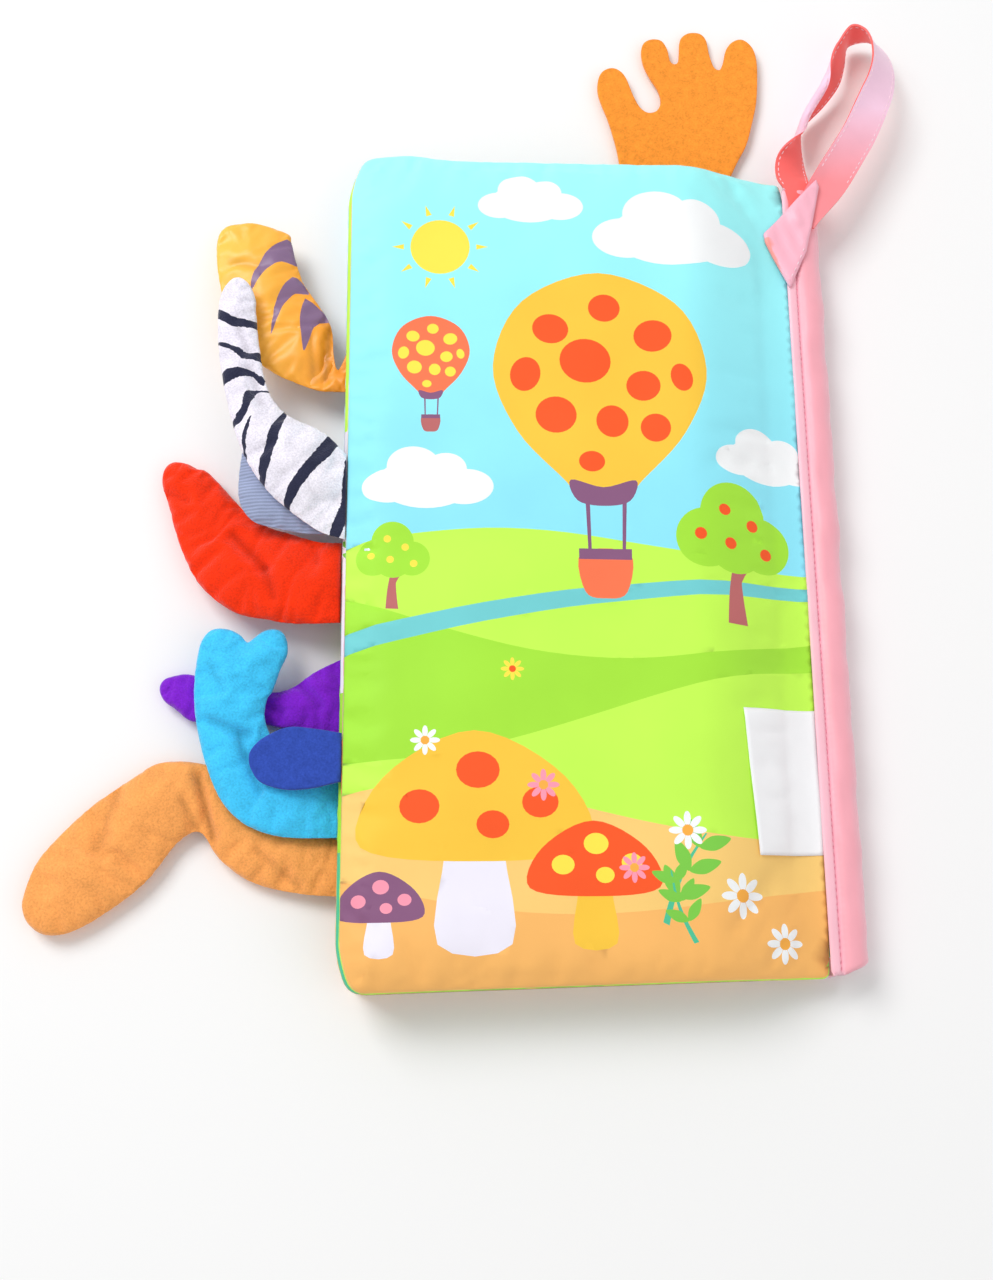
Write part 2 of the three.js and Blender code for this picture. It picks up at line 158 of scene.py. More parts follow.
def white_where(tree, shader, share=None):
    """Puts plain white in place of a shader for the rays that look at the background."""
    ray = node_of(tree, "ShaderNodeLightPath").outputs
    seen = maths(tree, "MAXIMUM", ray["Is Camera Ray"], ray["Is Glossy Ray"])
    seen = maths(tree, "MAXIMUM", seen, ray["Is Transmission Ray"])
    if share:
        seen = maths(tree, "MULTIPLY", seen, share)
    kind = "ShaderNodeEmission" if share else "ShaderNodeBackground"
    white = node_of(tree, kind, {"Color": WHITE, "Strength": 1.0})
    mixed = node_of(tree, "ShaderNodeMixShader", {0: seen, 1: shader, 2: white.outputs[0]})
    return mixed.outputs[0]


def mesh_object(name, points, faces, edges=()):
    """An object in the scene with smooth faces, from points in millimetres."""
    mesh = bpy.data.meshes.new(name)
    mesh.from_pydata((np.reshape(points, (-1, 3)) * MM).tolist(), edges, faces)
    mesh.shade_smooth()
    made = bpy.data.objects.new(name, mesh)
    bpy.context.scene.collection.objects.link(made)
    return made


world = bpy.data.worlds.new("studio")
bpy.context.scene.world = world
world.use_nodes = True
sky = world.node_tree
sky.nodes.clear()
light = node_of(sky, "ShaderNodeBackground", {"Color": WHITE, "Strength": SKY_LEVEL})
node_of(sky, "ShaderNodeOutputWorld", {0: white_where(sky, light.outputs[0])})


def lamp(name, place, size, power):
    """A square area lamp that looks at the book."""
    data = bpy.data.lights.new(name, "AREA")
    data.size = size
    data.energy = power
    found = bpy.data.objects.new(name, data)
    bpy.context.scene.collection.objects.link(found)
    found.location = place
    found.rotation_euler = (-Vector(place)).to_track_quat("-Z", "Y").to_euler()


lamp("key", (-0.6, 0.5, 0.9), 0.6, 8.0)
lamp("fill", (0.6, -0.5, 0.8), 1.0, 1.6)

corners = [(x * FLOOR_REACH, y * FLOOR_REACH, -FLOOR_DROP)
           for x, y in ((-1, -1), (1, -1), (1, 1), (-1, 1))]
floor = mesh_object("floor", corners, [(0, 1, 2, 3)])
floor_finish = bpy.data.materials.new("pale_floor")
floor_finish.use_nodes = True
floor_tree = floor_finish.node_tree
floor_shader = floor_tree.nodes["Principled BSDF"]
floor_shader.inputs["Base Color"].default_value = (FLOOR_TONE, FLOOR_TONE, FLOOR_TONE, 1)
floor_shader.inputs["Roughness"].default_value = 1.0
floor_shader.inputs["Specular IOR Level"].default_value = 0.0
spot = node_of(floor_tree, "ShaderNodeTexCoord").outputs["Object"]
away = node_of(floor_tree, "ShaderNodeVectorMath", {0: spot}, operation="LENGTH").outputs["Value"]
far = node_of(floor_tree, "ShaderNodeMapRange", {"Value": away, "From Min": FLOOR_FADE[0],
              "From Max": FLOOR_FADE[1]}, interpolation_type="SMOOTHSTEP")
faded = white_where(floor_tree, floor_shader.outputs[0], far.outputs["Result"])
floor_tree.links.new(faded, floor_tree.nodes["Material Output"].inputs["Surface"])
floor.data.materials.append(floor_finish)
print("floor and lamps are set")

# %% [markdown]
# ## Cloth finishes
#
# Every surface here is cloth, and cloth has three scales: the weave or pile that you feel, the slow
# change of tone where it is rubbed or brushed, and the sheen that fibres give at a grazing angle.
# One helper builds all three from noise and waves on the object's own coordinates, so that the
# pattern stays put when a piece moves. Colours that change over a piece come from an attribute on
# its mesh.

# %% Finishes for woven, brushed and felted cloth
# Most of a noise lies between these two values.
NOISE_FROM, NOISE_TO = 0.3, 0.7
# Painted shade and light on ribs: a rib's colour is this dark in its groove and this light on its
# back.
RIB_GROOVE_SHADE, RIB_BACK_LIGHT = 0.72, 1.04
SHEEN_ROUGH, BUMP_STRENGTH = 0.45, 0.6
# A wave node draws one band per this length at a scale of one.
BAND = math.pi / 10


def finish_of(name, rough, sheen, grain, depth, mottle, patch, colour=None, weave=0.0,
              tint=(1, 1, 1), gloss=0.25, fleck=0.0, ribs=0.0):
    """A cloth material. grain, its depth, patch, weave and ribs are millimetres. mottle is the
    share by which the tone changes from patch to patch, and fleck that from grain to grain."""
    made = bpy.data.materials.new(name)
    made.use_nodes = True
    tree = made.node_tree
    shader = tree.nodes["Principled BSDF"]
    place = node_of(tree, "ShaderNodeTexCoord").outputs["Object"]

    def noise(size, detail):
        given = {"Vector": place, "Scale": 1 / (size * MM), "Detail": detail}
        return node_of(tree, "ShaderNodeTexNoise", given).outputs["Fac"]

    def spanned(value, least, most, low, high):
        given = {"Value": value, "From Min": least, "From Max": most, "To Min": low, "To Max": high}
        return node_of(tree, "ShaderNodeMapRange", given).outputs[0]

    def bands(size, direction, **more):
        given = {"Vector": place, "Scale": BAND / (size * MM), **more}
        return node_of(tree, "ShaderNodeTexWave", given, bands_direction=direction).outputs["Fac"]

    def scaled(colour_in, share):
        given = {0: colour_in, "Scale": share}
        return node_of(tree, "ShaderNodeVectorMath", given, operation="SCALE").outputs[0]

    if colour is None:
        base = node_of(tree, "ShaderNodeAttribute", attribute_name="print").outputs["Color"]
    else:
        base = node_of(tree, "ShaderNodeRGB").outputs[0]
        base.default_value = (*colour_of(colour), 1)
    slow, fine = noise(patch, 3.0), noise(grain, 2.0)
    shades = [spanned(value, NOISE_FROM, NOISE_TO, 1 - share, 1 + share)
              for value, share in ((slow, mottle), (fine, fleck))]
    toned = scaled(base, maths(tree, "MULTIPLY", *shades))
    height = fine
    if ribs:
        cord = bands(ribs, "Y", Distortion=0.4)
        # Painted shade in the grooves of the ribs and painted light on their backs.
        toned = scaled(toned, spanned(cord, 0, 1, RIB_GROOVE_SHADE, RIB_BACK_LIGHT))
        height = maths(tree, "ADD", height, cord)
    tree.links.new(toned, shader.inputs["Base Color"])
    if weave:
        threads = [bands(weave, direction, Distortion=0.6, Detail=1.0) for direction in ("X", "Y")]
        height = maths(tree, "ADD", maths(tree, "MULTIPLY", *threads), height)
    given = {"Height": height, "Strength": BUMP_STRENGTH, "Distance": depth * MM}
    tree.links.new(node_of(tree, "ShaderNodeBump", given).outputs[0], shader.inputs["Normal"])
    values = {"Roughness": rough, "Specular IOR Level": gloss, "Sheen Weight": sheen,
              "Sheen Roughness": SHEEN_ROUGH, "Sheen Tint": (*tint, 1)}
    for socket, value in values.items():
        shader.inputs[socket].default_value = value
    return made


printed_cloth = finish_of("printed_polyester", 0.62, 0.12, 0.5, 0.02, 0.025, 22, weave=0.28,
                          gloss=0.3)
print("printed cloth is ready")

# %% [markdown]
# ## The leaves
#
# Each leaf is two printed cloths sewn together round three sides, turned right side out and filled
# with wadding and film. It is thickest in the middle and thin at its seams, where the thread
# gathers the cloth into small puckers. The height of the cloth is worked out from the distance to
# the seam, and the puckers are narrow valleys that start at the seam and die out inwards.

# %% Sizes of a leaf, read from the frame
LEAVES = ["front_cover", "page_one", "page_two", "page_three", "back_cover"]
LEAF_COUNT = len(LEAVES)
# Two leaves lie this far apart at their seams, and a share of it where they swell.
SEAM_GAP, GAP_KEPT = 0.3, 0.8
SEAM_THICK = 0.35
CLOTH_THICK = 0.3
CROWN_RUN = 15.0
SPINE_RUN = 34.0
SPINE_ROOM = 2.4
EDGE_DROOP = 0.55
SPINE_FILL = 0.22
CORNER_RADIUS = 4.0
# How far the fore corners draw in, along how much edge, how far inwards, and how that fades.
CORNER_CUT, CORNER_RUN, CORNER_REACH, CORNER_FADE = 3.4, 13.0, 30.0, 1.6
OUTLINE_STEP = 1.3


def box_mm(node):
    low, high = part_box(node)
    return np.array(low) / MM, np.array(high) / MM


top_low, top_high = box_mm("back_cover_upper_cloth")
HINGE_X = top_high[0] + SEAM_GAP / 2
FORE_HALF = 120.0
SPINE_HALF = 116.5
SPINE_TOP = 119.0
# A small bump in the top edge, which the photo shows.
BUMP_RISE, BUMP_AT, BUMP_WIDE = 1.3, -48.0, 9.0
PAGE_WIDTH = HINGE_X - top_low[0]
PITCH = top_high[2] - box_mm("page_three_upper_cloth")[1][2]
LEAF_THICK = PITCH - SEAM_GAP
print("page width", round(PAGE_WIDTH, 2), "mm, pitch of the leaves", round(PITCH, 2), "mm")

# %% The height of a leaf's cloth
# The gathered seam has close and wide puckers: a seed, their spacing and their greatest depth. They
# take at most a share of the leaf's thickness.
PUCKERS = ((11, 7.0, 0.95), (50, 15.0, 0.8))
PUCKER_START, PUCKER_MOST = 0.6, 0.75
# The slow swell of the stack: how many waves it sums, how high it is, and how long they are.
BILLOW_WAVES, BILLOW_RISE, BILLOW_RUN = 9, 0.5, (28, 75)
# About one full turn in radians.
FULL_TURN = 6.28
# Filled in by the cloth simulation further down.
wrinkles = None


def rounded(back, corner, ahead, count):
    """Points of a short curve that rounds a corner off."""
    return [(1 - t) ** 2 * back + 2 * t * (1 - t) * corner + t ** 2 * ahead
            for t in np.linspace(0, 1, count)]


def rounded_ring(corners, radii, step):
    """A ring with round corners, and the number of the side of each point, or -1 at a corner."""
    corners = np.array(corners)
    points, sides = [], []
    for k, (here, radius) in enumerate(zip(corners, radii)):
        before, after = corners[k - 1], corners[(k + 1) % len(corners)]
        back = here + (before - here) / np.linalg.norm(before - here) * radius
        ahead = here + (after - here) / np.linalg.norm(after - here) * radius
        limit = after + (here - after) / np.linalg.norm(here - after) * radius
        arc = rounded(back, here, ahead, 6)
        count = int(np.linalg.norm(limit - ahead) / step)
        straight = [ahead + (limit - ahead) * t for t in np.linspace(0, 1, count + 2)[1:-1]]
        points += arc + straight
        sides += [-1] * len(arc) + [k] * len(straight)
    return np.array(points), np.array(sides)


def leaf_outline(fore_x, step=OUTLINE_STEP):
    """Points round a leaf and whether each is on its open side. It runs up the spine side, along
    the top, down the fore edge and back along the foot."""
    spine_x = HINGE_X - SEAM_GAP / 2
    corners = [(spine_x, -SPINE_HALF), (spine_x, SPINE_TOP), (fore_x, FORE_HALF),
               (fore_x, -FORE_HALF)]
    radii = [CORNER_RADIUS / 2, CORNER_RADIUS / 2, CORNER_RADIUS, CORNER_RADIUS]
    points, sides = rounded_ring(corners, radii, step)
    from_end = np.clip(FORE_HALF - np.abs(points[:, 1]), 0, CORNER_RUN) / CORNER_RUN
    near_fore = np.clip(1 - (points[:, 0] - fore_x) / CORNER_REACH, 0, 1)
    points[:, 0] += CORNER_CUT * (1 - from_end) ** CORNER_FADE * near_fore
    on_top = points[:, 1] > SPINE_TOP - 1
    points[on_top, 1] += BUMP_RISE * np.exp(-((points[on_top, 0] - BUMP_AT) / BUMP_WIDE) ** 2)
    return points, sides == 0


def ring_length(ring):
    return np.linalg.norm(np.roll(ring, -1, axis=0) - ring, axis=1).sum()


def seam_distance(points, outline, open_side):
    """Distance from each point to the sewn outline, and the place along it, in millimetres."""
    ahead = np.roll(outline, -1, axis=0)
    length = np.linalg.norm(ahead - outline, axis=1)
    start = np.concatenate([[0], np.cumsum(length)[:-1]])
    best = np.full(len(points), 1e9)
    place = np.zeros(len(points))
    for a, b, size, s, skip in zip(outline, ahead, length, start, open_side):
        if skip or size < 1e-6:
            continue
        t = np.clip(((points - a) @ (b - a)) / size ** 2, 0, 1)
        gap = np.linalg.norm(points - a - t[:, None] * (b - a), axis=1)
        closer = gap < best
        best[closer] = gap[closer]
        place[closer] = (s + t * size)[closer]
    return best, place


def puckers(place, depth_in, seed, length, spacing, deepest):
    """Valleys that run in from a seam. depth_in is the distance from the seam."""
    dice = np.random.RandomState(seed)
    total = np.zeros(len(place))
    at = 0.0
    while at < length:
        at += spacing * dice.uniform(0.5, 1.6)
        deep, reach = deepest * dice.uniform(0.25, 1.0), spacing * dice.uniform(0.6, 2.0)
        lean, wide = dice.uniform(-0.35, 0.35), spacing * dice.uniform(0.1, 0.2)
        across = (place - at - lean * depth_in) / (wide * (1 + depth_in / reach))
        total += deep * np.exp(-across ** 2) * np.exp(-(depth_in / reach) ** 2)
    return total * (1 - np.exp(-depth_in / PUCKER_START))


def billow(x, y):
    """A slow swell of the stack, the same for every leaf, as a share from minus one to one."""
    dice = np.random.RandomState(4)
    total = np.zeros(len(x))
    for _ in range(BILLOW_WAVES):
        turn, wave = dice.uniform(0, math.pi), dice.uniform(*BILLOW_RUN)
        phase = dice.uniform(0, FULL_TURN)
        total += np.sin((x * math.cos(turn) + y * math.sin(turn)) * FULL_TURN / wave + phase)
    return total / (BILLOW_WAVES / 2)


def dome(share):
    """The height of a quarter circle over a share of its width."""
    left = 1 - np.clip(share, 0, 1)
    return np.sqrt(1 - left * left)


def wrinkle_height(x, y):
    """The simulated wrinkles at some places, read from their grid."""
    if wrinkles is None:
        return np.zeros(len(x))
    x0, y0, heights = wrinkles
    u = np.clip((x - x0) / WRINKLE_STEP, 0, heights.shape[0] - 1.001)
    v = np.clip((y - y0) / WRINKLE_STEP, 0, heights.shape[1] - 1.001)
    i, j = u.astype(int), v.astype(int)
    a, b = u - i, v - j
    return ((1 - a) * (1 - b) * heights[i, j] + a * (1 - b) * heights[i + 1, j]
            + (1 - a) * b * heights[i, j + 1] + a * b * heights[i + 1, j + 1])


def leaf_height(points, level, upper, outline, open_side):
    """Height of the outer face of a leaf's upper or lower cloth over the table, in millimetres."""
    x, y = points[:, 0], points[:, 1]
    seam, place = seam_distance(points, outline, open_side)
    crown = dome(seam / CROWN_RUN)
    t = np.clip((HINGE_X - x) / SPINE_RUN, 0, 1)
    rise = t * t * (3 - 2 * t)
    room = SPINE_ROOM + (PITCH - SPINE_ROOM) * rise - EDGE_DROOP * (1 - crown)
    thick = SEAM_THICK + (LEAF_THICK - SEAM_THICK) * (SPINE_FILL + (1 - SPINE_FILL) * rise) * crown
    thick = np.minimum(thick, room - SEAM_GAP * GAP_KEPT)
    length = ring_length(outline)
    gather = sum(puckers(place, seam, seed + level * 2 + upper, length, spacing, deepest)
                 for seed, spacing, deepest in PUCKERS)
    thick = np.maximum(thick - np.minimum(gather, thick * PUCKER_MOST), SEAM_THICK)
    middle = (level + 0.5) * room - SEAM_GAP / 2
    share = (level + (1 if upper else 0)) / LEAF_COUNT
    swell = (billow(x, y) * BILLOW_RISE * crown + wrinkle_height(x, y)) * share
    return middle + (thick / 2 if upper else -thick / 2) + swell


print("puckers reach", max(deepest for _, _, deepest in PUCKERS), "mm deep")

# %% [markdown]
# ## The prints
#
# The cloth is printed with simple flat shapes before it is cut. A picture made of shapes with crisp
# edges can be cut straight into the mesh: the outlines go into a Delaunay triangulation together
# with the points of the cloth, and each triangle takes the colour of the topmost shape that holds
# it. The print then stays sharp at any distance and needs no image. The pictures are plain
# landscapes with balloons, mushrooms, kites and flowers.

# %% Shapes for the prints
INK = {
    "sky": "A5FFFF", "haze": "8FE8FF", "cloud": "FCFEFF", "lime": "C8FF55", "grass": "A9EA3C",
    "leaf": "7FD04A", "mint": "4FC79A", "sand": "FFD27A", "clay": "FFBE6A", "teal": "74D2D6",
    "deep": "3FA9B8", "bark": "C06B6B", "plum": "8A5A80", "sun": "FFEA4E", "gold": "FFCC40",
    "amber": "FFB347", "fire": "FF5A20", "coral": "FF7A50", "rose": "FF9EB5", "violet": "A88BE0",
    "blue": "5C8CF0", "milk": "F6F2FF",
}
# How far a print runs on beyond the fore edge and beyond the hinge.
OVER_FORE, OVER_HINGE = 6.0, 4.0


def moved(shape, x, y, size, turn=0.0):
    """A shape that is scaled, turned by some degrees and put in its place."""
    c, s = math.cos(math.radians(turn)), math.sin(math.radians(turn))
    p = np.array(shape, float) * size
    return np.stack([x + p[:, 0] * c - p[:, 1] * s, y + p[:, 0] * s + p[:, 1] * c], axis=1)


def oval(x, y, across, up, turn=0.0, count=40):
    """An ellipse as a ring of points, with its half widths and its turn in degrees."""
    angle = np.linspace(0, 2 * math.pi, count, endpoint=False)
    return moved(np.stack([across * np.cos(angle), up * np.sin(angle)], axis=1), x, y, 1, turn)


def smooth_curve(p, steps):
    """A Catmull-Rom curve from the second of its points to the last but one."""
    rows = []
    for a, b, c, d in zip(p, p[1:], p[2:], p[3:]):
        for t in np.linspace(0, 1, steps, endpoint=False):
            rows.append(0.5 * (2 * b + (c - a) * t + (2 * a - 5 * b + 4 * c - d) * t * t
                               + (3 * b - a - 3 * c + d) * t ** 3))
    return rows


def smooth_ring(points, steps=6):
    """A closed smooth curve through a few points."""
    p = np.array(points, float)
    return np.array(smooth_curve(np.vstack([p[-1], p, p[:2]]), steps))


def smooth_path(points, steps=8):
    """An open smooth curve through rows of numbers."""
    p = np.array(points, float)
    longer = np.vstack([2 * p[0] - p[1], p, 2 * p[-1] - p[-2]])
    return np.array(smooth_curve(longer, steps) + [p[-1]])


def cloud(x, y, size, ink="cloud"):
    puffs = [(0, 0, 0.55, 0.3), (-0.42, -0.04, 0.3, 0.2), (0.44, -0.05, 0.32, 0.21),
             (-0.14, 0.2, 0.3, 0.24), (0.22, 0.16, 0.24, 0.2)]
    return [(oval(x + a * size, y + b * size, w * size, h * size), ink) for a, b, w, h in puffs]


def daisy(x, y, size, petal="cloud", heart="amber"):
    rows = []
    for angle in np.arange(0, 360, 45.0):
        r = math.radians(angle)
        rows.append((oval(x + 0.62 * size * math.cos(r), y + 0.62 * size * math.sin(r),
                          0.4 * size, 0.19 * size, angle, 16), petal))
    return rows + [(oval(x, y, 0.3 * size, 0.3 * size, 0, 20), heart)]


def stalk(x, y, x2, y2, wide, ink, bend=0.0):
    """A tapering stem from a foot to a tip, bowed sideways by a share of its length."""
    a, b = np.array([x, y], float), np.array([x2, y2], float)
    side = np.array([-(b - a)[1], (b - a)[0]])
    left, right = [], []
    for t in np.linspace(0, 1, 9):
        at = a + (b - a) * t + side * bend * math.sin(math.pi * t)
        half = side / np.linalg.norm(side) * wide * (1 - 0.75 * t) / 2
        left.append(at + half)
        right.append(at - half)
    return [(np.array(left + right[::-1]), ink)]


def leaf_shape(x, y, size, turn, ink):
    ring = smooth_ring([(0, 0), (0.45, 0.22), (1, 0), (0.45, -0.22)])
    return [(moved(ring, x, y, size, turn), ink)]


def sprig(x, y, size, turn, ink="leaf"):
    r = math.radians(turn)
    tip = (x + size * math.cos(r), y + size * math.sin(r))
    rows = stalk(x, y, *tip, size * 0.07, "mint", 0.06)
    for k, t in enumerate((0.3, 0.3, 0.58, 0.58, 0.84, 0.84)):
        lean = 48 if k % 2 else -48
        at = (x + (tip[0] - x) * t, y + (tip[1] - y) * t)
        rows += leaf_shape(*at, size * 0.34, turn + lean, ink)
    return rows


def mushroom(x, y, size, cap="fire", spot="sun", foot="milk"):
    stem = smooth_ring([(-0.2, 0), (-0.16, 0.5), (-0.2, 0.62), (0.2, 0.62), (0.16, 0.5),
                        (0.2, 0)], 4)
    roof = smooth_ring([(-0.62, 0.52), (-0.5, 0.9), (0, 1.16), (0.5, 0.9), (0.62, 0.52),
                        (0, 0.44)])
    rows = [(moved(stem, x, y, size), foot), (moved(roof, x, y, size), cap)]
    for a, b, w in ((-0.3, 0.74, 0.11), (0.02, 0.94, 0.12), (0.1, 0.64, 0.09), (0.36, 0.76, 0.1)):
        rows.append((oval(x + a * size, y + b * size, w * size, w * size * 0.85, 0, 20), spot))
    return rows


def balloon(x, y, size, skin="gold", spot="fire", basket="coral"):
    """A hot air balloon. size is the half width of its envelope, and x, y its middle."""
    ring = smooth_ring([(0, 1.08), (0.72, 0.78), (1.0, 0.12), (0.78, -0.52), (0.34, -1.02),
                        (0.2, -1.2), (-0.2, -1.2), (-0.34, -1.02), (-0.78, -0.52), (-1.0, 0.12),
                        (-0.72, 0.78)])
    ropes = [[(a, -1.15), (a * 0.9, -1.75), (a * 0.9 + 0.03, -1.75), (a + 0.04, -1.15)]
             for a in (-0.17, 0.17)]
    rows = [(moved(rope, x, y, size), "plum") for rope in ropes] + [(moved(ring, x, y, size), skin)]
    for a, b, w, h in (
            (-0.46, 0.5, 0.17, 0.15), (0.05, 0.72, 0.15, 0.14), (0.5, 0.44, 0.18, 0.16),
            (-0.7, 0.04, 0.14, 0.17), (-0.14, 0.18, 0.24, 0.22), (0.4, -0.06, 0.16, 0.15),
            (0.76, 0.02, 0.1, 0.14), (-0.42, -0.36, 0.19, 0.18), (0.1, -0.42, 0.15, 0.16),
            (0.5, -0.48, 0.14, 0.14), (-0.1, -0.82, 0.12, 0.1)):
        rows.append((oval(x + a * size, y + b * size, w * size, h * size, 20 * a, 28), spot))
    band = smooth_ring([(-0.3, -1.0), (0, -1.07), (0.3, -1.0), (0.24, -1.2), (0, -1.25),
                        (-0.24, -1.2)], 5)
    rows.append((moved(band, x, y, size), "plum"))
    tub = smooth_ring([(-0.22, -1.7), (0.22, -1.7), (0.19, -2.06), (0, -2.12), (-0.19, -2.06)], 5)
    rows.append((moved(tub, x, y, size), basket))
    rim = [(-0.24, -1.66), (0.24, -1.66), (0.24, -1.76), (-0.24, -1.76)]
    return rows + [(moved(rim, x, y, size), "plum")]


def kite(x, y, size, turn, one="fire", two="gold"):
    root, tip = moved([(0, -0.9), (-0.5, -2.3)], x, y, size, turn)
    parts = [([(0, 0.8), (0.55, 0.1), (0, -0.95), (-0.55, 0.1)], one),
             ([(0, 0.8), (0.55, 0.1), (0, 0.1)], two), ([(-0.55, 0.1), (0, 0.1), (0, -0.95)], two)]
    rows = stalk(*root, *tip, size * 0.09, "plum", 0.2)
    return rows + [(moved(ring, x, y, size, turn), ink) for ring, ink in parts]


def round_tree(x, y, size, crown="grass", fruit="fire"):
    rows = stalk(x, y, x + 0.06 * size, y + 1.1 * size, size * 0.3, "bark", 0.03)
    rows += stalk(x, y + 0.55 * size, x + 0.4 * size, y + 1.0 * size, size * 0.12, "bark", 0.1)
    for a, b, w in ((-0.42, 1.25, 0.44), (0.46, 1.22, 0.42), (0.0, 1.62, 0.5), (0.02, 1.2, 0.45)):
        rows.append((oval(x + a * size, y + b * size, w * size, w * size), crown))
    for a, b in ((-0.5, 1.3), (-0.12, 1.7), (0.3, 1.5), (0.5, 1.1), (-0.05, 1.2)):
        rows.append((oval(x + a * size, y + b * size, 0.09 * size, 0.09 * size, 0, 16), fruit))
    return rows


def sun(x, y, size, ink="sun"):
    ray = [(1.22, 0.1), (1.62, 0), (1.22, -0.1)]
    rows = [(moved(ray, x, y, size, turn), ink) for turn in np.arange(0, 360, 36.0)]
    return rows + [(oval(x, y, size, size), ink)]


def across_page(count):
    """Even places from one side of the print to the other, and what share of the way each lies."""
    left, right = HINGE_X - PAGE_WIDTH - OVER_FORE, HINGE_X + OVER_HINGE
    xs = np.linspace(left, right, count)
    return xs, (xs - left) / (right - left)


def hill(top, ink, phase, swing, slope):
    """Rolling ground from edge to edge. top is a share of the page's height."""
    xs, share = across_page(26)
    high = -FORE_HALF + 2 * FORE_HALF * top
    ys = high + FORE_HALF * swing * np.sin(share * 4.2 + phase) + slope * FORE_HALF * (share - 0.5)
    return [(np.array([*zip(xs, ys), (xs[-1], -FORE_HALF), (xs[0], -FORE_HALF)]), ink)]


def stream(y, y2, wide, wide2, ink, bow):
    """A band of water from edge to edge, with its height and width at both, in millimetres."""
    xs, share = across_page(20)
    middle = y + (y2 - y) * share + bow * np.sin(share * math.pi)
    half = (wide + (wide2 - wide) * share) / 2
    return [(np.array([*zip(xs, middle + half), *zip(xs[::-1], (middle - half)[::-1])]), ink)]


print("inks in the prints:", len(INK))

# %% [markdown]
# ## Ten pictures
#
# Each face of a leaf has its own picture: a sky that fades downwards, rolling ground in front of
# it, and the shapes that stand in it. Places are shares of the half width and half height of the
# page, and a size is a share of its width, so a picture follows the page if that changes.

